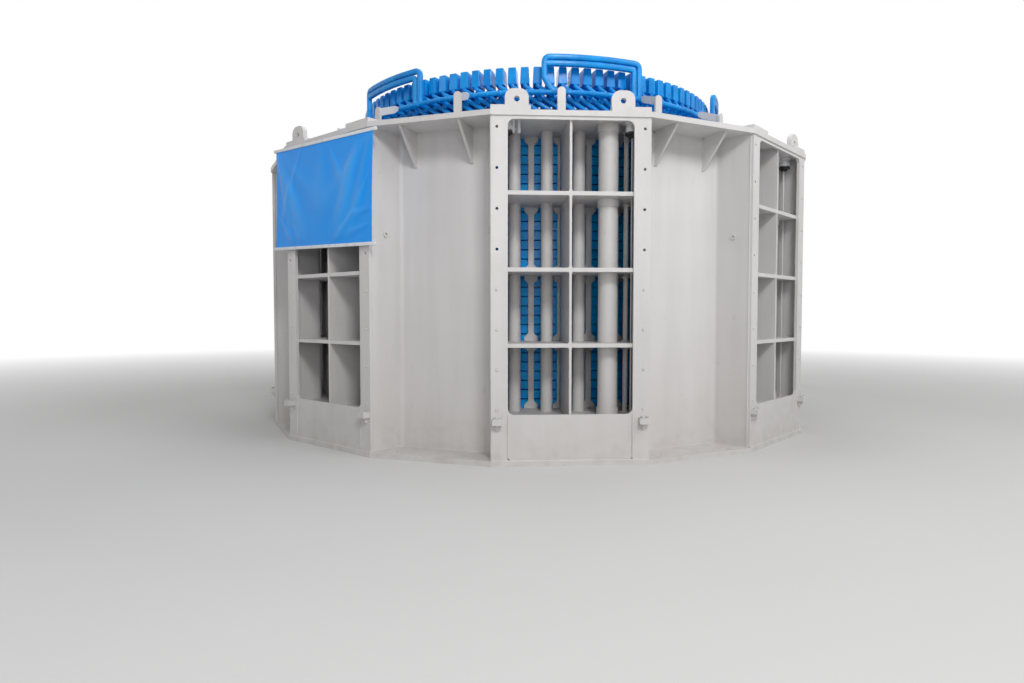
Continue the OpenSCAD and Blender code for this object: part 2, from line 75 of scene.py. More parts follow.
@dataclass(frozen=True)
class FrameSizes:
    """The welded frame's main sizes, in metres, as in the CAD source."""

    face: float = 2.740
    window_half: float = 0.590
    opening_half: float = 0.465
    plate: float = 0.040
    top: float = 2.600
    sill: float = 0.345
    shelf_pitch: float = 0.560
    shelf: float = 0.030
    window_plate: float = 0.025
    wall_depth: float = 0.320
    bend: float = 0.045
    closing_top: float = 0.380

    @property
    def under_top(self) -> float:
        """Height of the top plate's underside."""
        return self.top - self.plate

    @property
    def corner_radius(self) -> float:
        """Distance of the window plates' outer edges from the axis."""
        return math.hypot(self.face, self.window_half)

    @property
    def panel_face(self) -> float:
        """Distance of the line between two windows' edges from the axis."""
        return self.corner_radius * math.cos(self.panel_half_angle)

    @property
    def panel_half(self) -> float:
        """Half of the distance between two neighbouring windows' edges."""
        return self.corner_radius * math.sin(self.panel_half_angle)

    @property
    def panel_half_angle(self) -> float:
        """Half of the angle that a recessed panel takes up round the axis."""
        return SIDE_TURN / 2 - math.atan2(self.window_half, self.face)

    @property
    def web(self) -> float:
        """Distance of a recessed panel's web from the axis."""
        return self.panel_face - self.wall_depth * math.cos(SIDE_TURN / 2)

    def bays(self) -> list[Flat]:
        """Lower and upper end of each bay between the shelves."""
        tops = [self.sill + k * self.shelf_pitch for k in range(4)]
        return [(low, high - self.shelf) for low, high in zip(tops, tops[1:])] + [(tops[-1], self.under_top)]


SIZES = FrameSizes()


# ---- Writing node trees ----


class NodePen:
    """Writes nodes into a shader or geometry tree in few words."""

    def __init__(self, tree: bpy.types.NodeTree) -> None:
        """Takes the tree to write in."""
        self.tree = tree

    def node(self, kind: str, inputs: dict | None = None, **settings: object) -> bpy.types.Node:
        """Adds one node.

        Args:
            kind: the node's type name.
            inputs: a value, node or socket for each input, by name or number.
            **settings: the node's own properties.

        Returns:
            The new node.
        """
        made = self.tree.nodes.new(kind)
        for name, value in settings.items():
            setattr(made, name, value)
        for key, value in (inputs or {}).items():
            self.feed(made.inputs[key], value)
        return made

    def feed(self, socket: bpy.types.NodeSocket, value: object) -> None:
        """Links a node or socket to an input, or sets the input's own value.

        Args:
            socket: the input.
            value: a node, a socket, or a plain value for the input.
        """
        if isinstance(value, bpy.types.Node):
            value = value.outputs[0]
        if isinstance(value, bpy.types.NodeSocket):
            self.tree.links.new(value, socket)
        else:
            socket.default_value = value

    def math(self, operation: str, first: object, second: object = 0.0) -> bpy.types.NodeSocket:
        """Adds one calculation with one or two numbers and returns its result."""
        return self.node("ShaderNodeMath", {0: first, 1: second}, operation=operation).outputs[0]

    def split(self, vector: object) -> tuple[bpy.types.NodeSocket, ...]:
        """Returns a vector's three parts."""
        return tuple(self.node("ShaderNodeSeparateXYZ", {0: vector}).outputs)

    def join(self, x: object, y: object, z: object) -> bpy.types.NodeSocket:
        """Returns the vector of three numbers."""
        return self.node("ShaderNodeCombineXYZ", {0: x, 1: y, 2: z}).outputs[0]

    def looked_at(self) -> bpy.types.NodeSocket:
        """Makes the switch for a white background.

        Returns:
            1 for rays that look at a surface, straight, by gloss or through glass, and 0 for its light.
        """
        rays = self.node("ShaderNodeLightPath").outputs
        direct = self.math("MAXIMUM", rays["Is Camera Ray"], rays["Is Glossy Ray"])
        return self.math("MAXIMUM", direct, rays["Is Transmission Ray"])


class Surface(NodePen):
    """A new material with its shader, and the patterns that finishes are made of."""

    def __init__(self, name: str, constants: dict[str, object]) -> None:
        """Makes the material.

        Args:
            name: the material's name.
            constants: values for the shader's own sockets.
        """
        self.material = bpy.data.materials.new(name)
        self.material.use_nodes = True
        super().__init__(self.material.node_tree)
        self.shader = self.tree.nodes["Principled BSDF"]
        for socket, value in constants.items():
            self.shader.inputs[socket].default_value = value
        self.place = self.node("ShaderNodeTexCoord").outputs["Object"]

    def stretched(self, scale: Point) -> bpy.types.NodeSocket:
        """Returns the object's coordinates, scaled by axis."""
        return self.node("ShaderNodeMapping", {"Vector": self.place, "Scale": scale}).outputs[0]

    def from_axis(self) -> bpy.types.NodeSocket:
        """Returns the distance from the stator's axis."""
        x, y, _ = self.split(self.place)
        return self.math("SQRT", self.math("ADD", self.math("MULTIPLY", x, x), self.math("MULTIPLY", y, y)))

    def noise(self, scale: float, detail: float = 2.0, place: object = None) -> bpy.types.NodeSocket:
        """Returns a cloudy pattern of about 0.3 to 0.7."""
        inputs = {"Vector": place or self.place, "Scale": scale, "Detail": detail}
        return self.node("ShaderNodeTexNoise", inputs).outputs["Fac"]

    def ranged(self, value: object, low: float, high: float, start: float = 0.0,
               end: float = 1.0) -> bpy.types.NodeSocket:
        """Returns a value brought from low..high to start..end, and held there outside."""
        inputs = {"Value": value, "From Min": low, "From Max": high, "To Min": start, "To Max": end}
        return self.node("ShaderNodeMapRange", inputs).outputs["Result"]

    def lines(self, value: object, pitch: float, share: float) -> bpy.types.NodeSocket:
        """Makes soft-edged lines across a length.

        Args:
            value: the length that the lines cross.
            pitch: distance from one line to the next.
            share: width of a line as a share of the pitch.

        Returns:
            1 on the lines and 0 between them.
        """
        phase = self.math("FRACT", self.math("DIVIDE", value, pitch))
        middle = self.math("ABSOLUTE", self.math("SUBTRACT", phase, 0.5))
        return self.ranged(middle, share / 2 * 1.2, share / 2 * 0.8)

    def blend(self, factor: object, first: object, second: object) -> bpy.types.NodeSocket:
        """Mixes two colours.

        Args:
            factor: share of the second colour.
            first: a colour or a socket.
            second: a colour or a socket.

        Returns:
            The mixed colour.
        """
        colours = {key: (*value, 1.0) if isinstance(value, tuple) else value
                   for key, value in ((MIX_FIRST, first), (MIX_SECOND, second))}
        return self.node("ShaderNodeMix", {0: factor, **colours}, data_type="RGBA").outputs[MIX_RESULT]

    def bump(self, height: object, strength: float, distance: float,
             below: object = None) -> bpy.types.NodeSocket:
        """Turns a height pattern into a normal.

        Args:
            height: the pattern.
            strength: how much of it shows.
            distance: its real height, in metres.
            below: the normal that it lies on, if there is one.

        Returns:
            The normal.
        """
        inputs = {"Height": height, "Strength": strength, "Distance": distance}
        if below is not None:
            inputs["Normal"] = below
        return self.node("ShaderNodeBump", inputs).outputs["Normal"]

    def dressed(self, colour: object, roughness: object, normal: object) -> bpy.types.Material:
        """Connects the patterns to the shader.

        Args:
            colour: the base colour.
            roughness: the roughness.
            normal: the normal.

        Returns:
            The material.
        """
        self.feed(self.shader.inputs["Base Color"], colour)
        self.feed(self.shader.inputs["Roughness"], roughness)
        self.feed(self.shader.inputs["Normal"], normal)
        return self.material


# ---- Finishes ----


@dataclass(frozen=True)
class FramePaint:
    """Warm light grey enamel on welded plate, darker towards the bottom (partly dusty, partly painted shade) and
    dusty on the ledges.
    """

    name: str = "frame_paint"
    coat: Colour = (0.645, 0.632, 0.630)
    shade: Colour = (0.600, 0.587, 0.583)
    # Also the colour of the painted shade towards the bottom.
    dust_and_shade: Colour = (0.400, 0.360, 0.315)
    scuff: Colour = (0.420, 0.408, 0.398)
    dust_and_shade_height: float = 1.6
    dust_and_shade_share: float = 0.20
    splash_height: float = 0.42
    ripple_pitch: float = 0.007
    ripples: bool = False

    def material(self) -> bpy.types.Material:
        """Builds the material.

        Returns:
            The finished material.
        """
        face = Surface(self.name, {"Coat Weight": 0.12, "Coat Roughness": 0.3, "Specular IOR Level": 0.4})
        height = face.split(face.place)[2]
        up = face.split(face.node("ShaderNodeNewGeometry").outputs["Normal"])[2]
        cloud = face.noise(1.3, 4.0)
        streak = face.noise(1.0, 3.0, face.stretched((8.0, 8.0, 0.6)))
        tone = face.ranged(face.math("ADD", cloud, streak), 0.85, 1.2)
        colour = face.blend(tone, self.coat, self.shade)
        # Darker towards the bottom: partly grime, partly painted shade where the light falls off low down.
        colour = face.blend(face.ranged(height, self.dust_and_shade_height, 0.0, 0.0, self.dust_and_shade_share), colour, self.dust_and_shade)
        grain = face.noise(9.0, 5.0)
        splash = face.ranged(height, self.splash_height, 0.0)
        low = face.math("MULTIPLY", splash, face.ranged(grain, 0.44, 0.70, 0.0, 0.30))
        ledge = face.math("MULTIPLY", face.ranged(up, 0.6, 0.95), face.ranged(grain, 0.35, 0.7, 0.05, 0.28))
        colour = face.blend(face.math("MAXIMUM", low, ledge), colour, self.dust_and_shade)
        marks = face.ranged(face.noise(21.0, 6.0, face.stretched((1.0, 1.0, 0.5))), 0.66, 0.74, 0.0, 0.22)
        colour = face.blend(marks, colour, self.scuff)
        roughness = face.ranged(face.math("ADD", cloud, grain), 0.8, 1.25, 0.36, 0.56)
        normal = face.bump(face.noise(2.4, 1.0), 0.22, 0.003)
        normal = face.bump(face.noise(150.0, 2.0), 0.10, 0.0008, normal)
        if self.ripples:
            along = face.node("ShaderNodeAttribute", attribute_name="along").outputs["Fac"]
            wobble = face.math("ADD", along, face.math("MULTIPLY", face.noise(60.0), 0.006))
            normal = face.bump(face.lines(wobble, self.ripple_pitch, 0.9), 0.7, 0.0012, normal)
        return face.dressed(colour, roughness, normal)


class Wrap(Enum):
    """How the insulating tape runs under the winding's enamel."""

    ALONG = "along"
    UPRIGHT = "upright"
    NONE = "plain"


@dataclass(frozen=True)
class WindingEnamel:
    """Azure gloss enamel brushed over taped coil bars."""

    wrap: Wrap = Wrap.NONE
    deep: Colour = (0.001, 0.215, 0.620)
    bright: Colour = (0.003, 0.320, 0.800)
    seam: Colour = (0.002, 0.075, 0.330)
    tape_pitch: float = 0.024

    def material(self) -> bpy.types.Material:
        """Builds the material.

        Returns:
            The finished material.
        """
        constants = {"Coat Weight": 0.08, "Coat Roughness": 0.15, "Specular IOR Level": 0.22}
        face = Surface("winding_enamel_" + self.wrap.value, constants)
        cloud = face.noise(7.0, 4.0)
        colour = face.blend(face.ranged(cloud, 0.34, 0.66), self.deep, self.bright)
        drips = face.noise(22.0, 2.0, face.stretched((1.0, 1.0, 0.35)))
        normal = face.bump(drips, 0.45, 0.0022)
        if self.wrap is not Wrap.NONE:
            if self.wrap is Wrap.ALONG:
                length = face.node("ShaderNodeAttribute", attribute_name="along").outputs["Fac"]
            else:
                length = face.split(face.place)[2]
            step = face.math("FRACT", face.math("DIVIDE", length, self.tape_pitch))
            normal = face.bump(face.ranged(step, 0.0, 0.9), 0.6, 0.0012, normal)
            colour = face.blend(face.ranged(step, 0.12, 0.0, 0.0, 0.35), colour, self.seam)
        roughness = face.ranged(face.noise(15.0), 0.3, 0.7, 0.22, 0.42)
        return face.dressed(colour, roughness, normal)


@dataclass(frozen=True)
class CoreEnamel:
    """Blue enamel on stacked laminations, with painted shade in the ventilating ducts at the bore."""

    colour: Colour = (0.001, 0.388, 0.985)
    worn: Colour = (0.005, 0.458, 0.990)
    seam: Colour = (0.002, 0.080, 0.320)
    # Colour of the painted shade in the ducts.
    duct_shade: Colour = (0.002, 0.012, 0.035)
    packet: float = 0.0773
    duct_height: float = 0.011
    bore: float = 1.680
    bore_fade: Flat = (0.012, 0.006)

    def material(self) -> bpy.types.Material:
        """Builds the material.

        Returns:
            The finished material.
        """
        face = Surface("core_enamel", {"Coat Weight": 0.09, "Coat Roughness": 0.12, "Specular IOR Level": 0.14})
        rise = face.math("SUBTRACT", face.split(face.place)[2], SIZES.sill - self.duct_height / 2)
        cloud = face.noise(5.0, 4.0, face.stretched((1.0, 1.0, 2.5)))
        colour = face.blend(face.ranged(cloud, 0.36, 0.68), self.colour, self.worn)
        sheets = face.noise(1.0, 2.0, face.stretched((2.0, 2.0, 620.0)))
        colour = face.blend(face.ranged(sheets, 0.45, 0.75, 0.0, 0.3), colour, self.seam)
        shifted = face.math("ADD", rise, self.packet / 2)
        # Near-black lines at the bore are painted shade in the ventilating ducts.
        duct_shade = face.lines(shifted, self.packet, self.duct_height / self.packet)
        at_bore = face.ranged(face.from_axis(), *(self.bore + away for away in self.bore_fade))
        colour = face.blend(face.math("MULTIPLY", duct_shade, at_bore), colour, self.duct_shade)
        normal = face.bump(sheets, 0.5, 0.0009)
        return face.dressed(colour, face.ranged(cloud, 0.3, 0.7, 0.28, 0.46), normal)


@dataclass(frozen=True)
class MetalFinish:
    """Bare, blackened or galvanised steel with a little tarnish."""

    name: str
    bright: Colour
    dull: Colour
    metallic: float
    roughness: Flat

    def material(self) -> bpy.types.Material:
        """Builds the material.

        Returns:
            The finished material.
        """
        face = Surface(self.name, {"Metallic": self.metallic})
        cloud = face.noise(18.0, 5.0)
        colour = face.blend(face.ranged(cloud, 0.36, 0.64), self.bright, self.dull)
        normal = face.bump(face.noise(240.0, 3.0), 0.25, 0.0006)
        return face.dressed(colour, face.ranged(cloud, 0.35, 0.65, *self.roughness), normal)


@dataclass(frozen=True)
class SheetVinyl:
    """Woven-backed blue vinyl with a painted highlight along its fold ridges, rubbed patches and a fine weave."""

    left: Colour = (0.016, 0.310, 0.930)
    right: Colour = (0.003, 0.330, 0.970)
    # Colour of the painted highlight on the fold ridges.
    ridge: Colour = (0.080, 0.440, 0.980)
    rubbed: Colour = (0.080, 0.300, 0.660)
    threads_per_metre: float = 900.0

    def material(self) -> bpy.types.Material:
        """Builds the material.

        Returns:
            The finished material.
        """
        face = Surface("banner_vinyl", {"Coat Weight": 0.05, "Coat Roughness": 0.35, "Specular IOR Level": 0.3})
        cloth = face.node("ShaderNodeUVMap", uv_map="cloth").outputs[0]
        u, v, _ = face.split(cloth)
        cloud = face.noise(2.2, 3.0, cloth)
        side = face.math("ADD", face.math("MULTIPLY", u, 0.45), face.math("MULTIPLY", cloud, 0.75))
        colour = face.blend(face.ranged(side, 0.35, 0.95), self.left, self.right)
        rise = face.node("ShaderNodeAttribute", attribute_name="rise").outputs["Fac"]
        # Fold ridges are lighter: a painted highlight where the folds catch the light.
        colour = face.blend(face.ranged(rise, 0.004, 0.020, 0.0, 0.55), colour, self.ridge)
        rub = face.ranged(face.noise(30.0, 5.0, cloth), 0.6, 0.75, 0.0, 0.25)
        colour = face.blend(rub, colour, self.rubbed)
        warp = face.math("SINE", face.math("MULTIPLY", u, self.threads_per_metre * FULL_TURN))
        weft = face.math("SINE", face.math("MULTIPLY", v, self.threads_per_metre * FULL_TURN))
        normal = face.bump(face.math("MULTIPLY", warp, weft), 0.12, 0.0003)
        normal = face.bump(face.noise(14.0, 3.0, cloth), 0.3, 0.003, normal)
        return face.dressed(colour, face.ranged(cloud, 0.3, 0.7, 0.34, 0.48), normal)


@dataclass(frozen=True)
class MouldedPlastic:
    """Moulded plastic or rubber with a fine grain."""

    name: str
    colour: Colour
    stain: Colour
    roughness: float

    def material(self) -> bpy.types.Material:
        """Builds the material.

        Returns:
            The finished material.
        """
        face = Surface(self.name, {"Specular IOR Level": 0.4})
        cloud = face.noise(16.0, 4.0)
        colour = face.blend(face.ranged(cloud, 0.5, 0.72, 0.0, 0.6), self.colour, self.stain)
        roughness = face.ranged(cloud, 0.3, 0.7, self.roughness - 0.06, self.roughness + 0.08)
        return face.dressed(colour, roughness, face.bump(face.noise(400.0), 0.15, 0.0004))


@dataclass(frozen=True)
class Finishes:
    """One built material for each finish of the stator."""

    paint: bpy.types.Material
    weld: bpy.types.Material
    enamel: bpy.types.Material
    taped: bpy.types.Material
    slot_tape: bpy.types.Material
    core: bpy.types.Material
    dark_steel: bpy.types.Material
    zinc: bpy.types.Material
    vinyl: bpy.types.Material
    batten: bpy.types.Material
    rubber: bpy.types.Material
    wedge: bpy.types.Material

    @classmethod
    def build(cls) -> "Finishes":
        """Builds every material.

        Returns:
            The set of finishes.
        """
        return cls(
            paint=FramePaint().material(),
            weld=FramePaint("weld_paint", ripples=True).material(),
            enamel=WindingEnamel().material(),
            taped=WindingEnamel(Wrap.ALONG).material(),
            slot_tape=WindingEnamel(Wrap.UPRIGHT).material(),
            core=CoreEnamel().material(),
            dark_steel=MetalFinish("dark_steel", (0.060, 0.055, 0.052), (0.085, 0.050, 0.032), 0.55,
                                   (0.38, 0.62)).material(),
            zinc=MetalFinish("zinc_steel", (0.550, 0.550, 0.560), (0.360, 0.360, 0.370), 0.85,
                             (0.30, 0.50)).material(),
            vinyl=SheetVinyl().material(),
            batten=MouldedPlastic("batten_plastic", (0.76, 0.78, 0.80), (0.55, 0.55, 0.54), 0.42).material(),
            rubber=MouldedPlastic("black_rubber", (0.018, 0.018, 0.019), (0.05, 0.048, 0.045), 0.55).material(),
            wedge=MouldedPlastic("wedge_laminate", (0.40, 0.30, 0.17), (0.24, 0.17, 0.09), 0.45).material(),
        )


# ---- Meshes ----


class Form:
    """A mesh under construction, made of simple closed bodies or of open lines."""

    def __init__(self) -> None:
        """Starts an empty form."""
        self.mesh = bmesh.new()

    def block(self, size: Point, place: Matrix, bevel: float, crown: Flat = (1.0, 1.0)) -> "Form":
        """Adds a block with rounded edges.

        Args:
            size: lengths along the block's own axes.
            place: where the block's centre and axes go.
            bevel: radius of the edges.
            crown: width and depth of the top face as shares of the bottom face.

        Returns:
            The form, for the next call.
        """
        made = bmesh.ops.create_cube(self.mesh, size=1.0)["verts"]
        for vert in made:
            share = crown if vert.co.z > 0 else (1.0, 1.0)
            vert.co = Vector((vert.co.x * size[0] * share[0], vert.co.y * size[1] * share[1],
                              vert.co.z * size[2]))
        edges = list(dict.fromkeys(edge for vert in made for edge in vert.link_edges))
        done = bmesh.ops.bevel(self.mesh, geom=edges, offset=bevel, segments=2, profile=0.5, affect="EDGES")
        made = [vert for vert in made if vert.is_valid] + [vert for face in done["faces"] for vert in face.verts]
        bmesh.ops.transform(self.mesh, matrix=place, verts=list(dict.fromkeys(made)))
        return self

    def lathe(self, profile: Sequence[Flat], steps: int, place: Matrix) -> "Form":
        """Adds a turned body.

        Args:
            profile: radius and height of each ring, from the lower pole upwards.
            steps: number of sides.
            place: where the body's foot and axis go.

        Returns:
            The form, for the next call.
        """
        rings = []
        for radius, height in profile:
            turns = [FULL_TURN * k / steps for k in range(steps)]
            points = [Vector((radius * math.cos(a), radius * math.sin(a), height)) for a in turns]
            rings.append([self.mesh.verts.new(place @ p) for p in points])
        for lower, upper in zip(rings, rings[1:]):
            for k in range(steps):
                after = (k + 1) % steps
                self.mesh.faces.new((lower[k], lower[after], upper[after], upper[k]))
        self.mesh.faces.new(list(reversed(rings[0])))
        self.mesh.faces.new(rings[-1])
        return self

    def prism(self, outline: Sequence[Flat], low: float, high: float, place: Matrix) -> "Form":
        """Adds an upright prism.

        Args:
            outline: the prism's corners in plan, counterclockwise.
            low: height of its foot.
            high: height of its head.
            place: where its own origin and axes go.

        Returns:
            The form, for the next call.
        """
        foot = [self.mesh.verts.new(place @ Vector((x, y, low))) for x, y in outline]
        head = [self.mesh.verts.new(place @ Vector((x, y, high))) for x, y in outline]
        for k in range(len(outline)):
            after = (k + 1) % len(outline)
            self.mesh.faces.new((foot[k], foot[after], head[after], head[k]))
        self.mesh.faces.new(list(reversed(foot)))
        self.mesh.faces.new(head)
        return self

    def line(self, points: Sequence[Point], closed: bool = False) -> "Form":
        """Adds a line of edges.

        Args:
            points: the line's points.
            closed: True to join its ends.

        Returns:
            The form, for the next call.
        """
        verts = [self.mesh.verts.new(p) for p in points]
        for first, second in zip(verts, verts[1:]):
            self.mesh.edges.new((first, second))
        if closed:
            self.mesh.edges.new((verts[-1], verts[0]))
        return self

    def data(self, name: str) -> bpy.types.Mesh:
        """Ends the form.

        Args:
            name: the mesh's name.

        Returns:
            The form as mesh data.
        """
        made = bpy.data.meshes.new(name)
        self.mesh.to_mesh(made)
        self.mesh.free()
        return made


def at(x: float, y: float, z: float, turn: float = 0.0) -> Matrix:
    """Returns a place at a point, turned about Z."""
    return Matrix.Translation((x, y, z)) @ Matrix.Rotation(turn, 4, "Z")


def facing_out(x: float, y: float, z: float) -> Matrix:
    """Returns a place at a point whose Z axis points along -Y."""
    return Matrix.Translation((x, y, z)) @ Matrix.Rotation(math.pi / 2, 4, "X")


def scaled(profile: Sequence[Flat], radius: float, height: float = 1.0) -> list[Flat]:
    """Returns a turned body's profile, brought from shares to its radius and height."""
    return [(radius * r, height * h) for r, h in profile]


def put(name: str, data: bpy.types.ID) -> bpy.types.Object:
    """Puts a new object in the scene.

    Args:
        name: the object's name.
        data: its mesh, camera or light.

    Returns:
        The object.
    """
    made = bpy.data.objects.new(name, data)
    bpy.context.scene.collection.objects.link(made)
    return made


def eased(points: Sequence[Flat], radius: float, steps: int, stride: float) -> list[Flat]:
    """Rounds a line's corners and divides its straight runs.

    Args:
        points: the line's corners.
        radius: radius of the round at each inner corner.
        steps: number of divisions of each round.
        stride: longest straight step.

    Returns:
        The finer line's points.
    """
    corners = [Vector(p) for p in points]
    made = [corners[0]]
    for before, here, after in zip(corners, corners[1:], corners[2:]):
        back, ahead = (before - here).normalized(), (after - here).normalized()
        half = back.angle(ahead) / 2
        shorter = min((before - here).length, (after - here).length)
        reach = min(radius / math.tan(half), shorter * ROUND_SHARE)
        start, end = here + back * reach, here + ahead * reach
        for k in range(steps + 1):
            t = k / steps
            made.append(start * (1 - t) ** 2 + here * 2 * t * (1 - t) + end * t ** 2)
    made.append(corners[-1])
    fine = [made[0]]
    for here in made[1:]:
        last = fine[-1]
        count = max(1, math.ceil((here - last).length / stride))
        fine.extend(last.lerp(here, k / count) for k in range(1, count + 1))
    return [(p.x, p.y) for p in fine]


# ---- Geometry node recipes ----


class Recipe(NodePen):
    """A geometry node tree with named inputs that turns a unit into a whole piece."""

    SHARED = {"Around": ("Int", 1), "Phase": ("Float", 0.0), "Rows": ("Int", 1), "Rise": ("Float", 0.0),
              "Material": ("Material", None)}

    def __init__(self, name: str, inputs: dict[str, tuple[str, object]]) -> None:
        """Starts the tree.

        Args:
            name: the tree's name.
            inputs: kind and standard value of each named input, besides the shared ones.
        """
        super().__init__(bpy.data.node_groups.new(name, "GeometryNodeTree"))
        face = self.tree.interface
        face.new_socket("Geometry", in_out="OUTPUT", socket_type="NodeSocketGeometry")
        face.new_socket("Geometry", in_out="INPUT", socket_type="NodeSocketGeometry")
        self.keys: dict[str, str] = {}
        for label, (kind, value) in {**inputs, **self.SHARED}.items():
            item = face.new_socket(label, in_out="INPUT", socket_type="NodeSocket" + kind)
            if value is not None:
                item.default_value = value
            self.keys[label] = item.identifier
        self.given = self.tree.nodes.new("NodeGroupInput").outputs

    def swept(self, profile: object) -> bpy.types.NodeSocket:
        """Sweeps a profile along the unit's lines and keeps their length as "along".

        Args:
            profile: the closed curve to sweep.

        Returns:
            The swept mesh.
        """
        curve = self.node("GeometryNodeMeshToCurve", {"Mesh": self.given["Geometry"]})
        curve = self.node("GeometryNodeSetCurveNormal", {"Curve": curve, "Normal": (0.0, 1.0, 0.0)}, mode="FREE")
        length = self.node("GeometryNodeSplineParameter").outputs["Length"]
        curve = self.node("GeometryNodeStoreNamedAttribute", {"Geometry": curve, "Name": "along", "Value": length},
                          data_type="FLOAT", domain="POINT")
        return self.node("GeometryNodeCurveToMesh",
                         {"Curve": curve, "Profile Curve": profile, "Fill Caps": True}).outputs[0]

    def close(self, unit: object) -> "Recipe":
        """Repeats a unit round the axis and upwards, makes it real, paints it and ends the tree.

        Args:
            unit: the geometry to repeat.

        Returns:
            The recipe, ready to run.
        """
        total = self.math("MULTIPLY", self.given["Around"], self.given["Rows"])
        points = self.node("GeometryNodeMeshLine", {"Count": total, "Offset": (0.0, 0.0, 0.0)}, mode="OFFSET")
        index = self.node("GeometryNodeInputIndex").outputs[0]
        row = self.math("MODULO", index, self.given["Rows"])
        rise = self.math("MULTIPLY", row, self.given["Rise"])
        points = self.node("GeometryNodeSetPosition", {"Geometry": points, "Offset": self.join(0.0, 0.0, rise)})
        step = self.math("FLOOR", self.math("DIVIDE", index, self.given["Rows"]))
        turn = self.math("DIVIDE", self.math("MULTIPLY", step, FULL_TURN), self.given["Around"])
        turn = self.math("ADD", turn, self.given["Phase"])
        copies = self.node("GeometryNodeInstanceOnPoints",
                           {"Points": points, "Instance": unit, "Rotation": self.join(0.0, 0.0, turn)})
        real = self.node("GeometryNodeRealizeInstances", {"Geometry": copies})
        painted = self.node("GeometryNodeSetMaterial", {"Geometry": real, "Material": self.given["Material"]})
        self.node("NodeGroupOutput", {0: painted})
        return self

    def make(self, form: Form, name: str, **values: object) -> bpy.types.Mesh:
        """Runs the tree on a form.

        Args:
            form: the unit.
            name: the result's name.
            **values: the tree's inputs by label, with _ for a space.

        Returns:
            The plain mesh that the tree gives.
        """
        holder = put(name + "_unit", form.data(name + "_unit"))
        step = holder.modifiers.new("recipe", "NODES")
        step.node_group = self.tree
        for label, value in values.items():
            step[self.keys[label.replace("_", " ")]] = value
        scene_state = bpy.context.evaluated_depsgraph_get()
        made = bpy.data.meshes.new_from_object(holder.evaluated_get(scene_state), preserve_all_data_layers=True,
                                               depsgraph=scene_state)
        made.name = name
        bpy.data.objects.remove(holder)
        return made


class Recipes:
    """The three trees that the pieces are grown with."""

    def __init__(self) -> None:
        """Builds the trees."""
        self.ring = self.ring_recipe()
        self.bead = self.bead_recipe()
        self.bar = self.bar_recipe()

    @staticmethod
    def ring_recipe() -> Recipe:
        """Returns the tree that repeats a body round the stator's axis."""
        tree = Recipe("ring_of_parts", {})
        return tree.close(tree.given["Geometry"])

    @staticmethod
    def bead_recipe() -> Recipe:
        """Builds the tree that lays a round bead along lines.

        Returns:
            The recipe.
        """
        tree = Recipe("weld_bead", {"Bead Radius": ("Float", 0.006), "Sides": ("Int", 8)})
        profile = tree.node("GeometryNodeCurvePrimitiveCircle",
                            {"Resolution": tree.given["Sides"], "Radius": tree.given["Bead Radius"]}, mode="RADIUS")
        return tree.close(tree.swept(profile))

    @staticmethod
    def bar_recipe() -> Recipe:
        """Builds the tree that sweeps a rounded bar along a line and wraps it on a cylinder.

        Returns:
            The recipe.
        """
        tree = Recipe("wrapped_bar", {"Depth": ("Float", 0.05), "Thickness": ("Float", 0.03),
                                      "Edge Radius": ("Float", 0.005), "Edge Steps": ("Int", 1),
                                      "Wrap Radius": ("Float", 1.8)})
        given = tree.given
        profile = tree.node("GeometryNodeCurvePrimitiveQuadrilateral",
                            {"Width": given["Depth"], "Height": given["Thickness"]}, mode="RECTANGLE")
        profile = tree.node("GeometryNodeFilletCurve", {"Curve": profile, "Count": given["Edge Steps"],
                                                        "Radius": given["Edge Radius"], "Limit Radius": True},
                            mode="POLY")
        bar = tree.swept(profile)
        across, inward, height = tree.split(tree.node("GeometryNodeInputPosition"))
        angle = tree.math("DIVIDE", across, given["Wrap Radius"])
        radius = tree.math("SUBTRACT", given["Wrap Radius"], inward)
        x = tree.math("MULTIPLY", radius, tree.math("SINE", angle))
        y = tree.math("MULTIPLY", radius, tree.math("MULTIPLY", tree.math("COSINE", angle), -1.0))
        wrapped = tree.node("GeometryNodeSetPosition", {"Geometry": bar, "Position": tree.join(x, y, height)})
        return tree.close(wrapped)


class Builder:
    """What every sub-assembly shares: the recipes, the finishes and the way to place a piece."""

    def __init__(self, recipes: Recipes, finishes: Finishes) -> None:
        """Takes the built recipes and finishes."""
        self.recipes = recipes
        self.finishes = finishes

    def place(self, mesh: bpy.types.Mesh, slot: str, stands_for: tuple[str, ...] = (),
              finish: bpy.types.Material | None = None, smooth: bool = False) -> bpy.types.Object:
        """Makes a finished mesh a piece of the stator.

        Args:
            mesh: the piece's mesh, in its place.
            slot: the record's material slot; not used.
            stands_for: the CAD nodes that the piece replaces.
            finish: the material, where the mesh has none yet.
            smooth: True for round pieces.

        Returns:
            The piece.
        """
        if finish is not None:
            mesh.materials.clear()
            mesh.materials.append(finish)
        if smooth:
            mesh.shade_smooth()
            mesh.set_sharp_from_angle(angle=SHARP_ANGLE)
        made = put(mesh.name, mesh)
        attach(made, "root")
        if stands_for:
            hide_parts(*stands_for)
        LOG.info("%s: %d faces", made.name, len(mesh.polygons))
        return made

    def ring(self, unit: Form, name: str, slot: str, finish: bpy.types.Material,
             stands_for: tuple[str, ...] = (), smooth: bool = False, **values: object) -> bpy.types.Object:
        """Repeats a body round the stator's axis and makes the result a piece.

        Args:
            unit: the body.
            name: the piece's name.
            slot: the record's material slot.
            finish: the material.
            stands_for: the CAD nodes that the piece replaces.
            smooth: True for round pieces.
            **values: the ring recipe's inputs by label.

        Returns:
            The piece.
        """
        mesh = self.recipes.ring.make(unit, name, Material=finish, **values)
        return self.place(mesh, slot, stands_for, smooth=smooth)


# ---- The CAD nodes' finishes ----


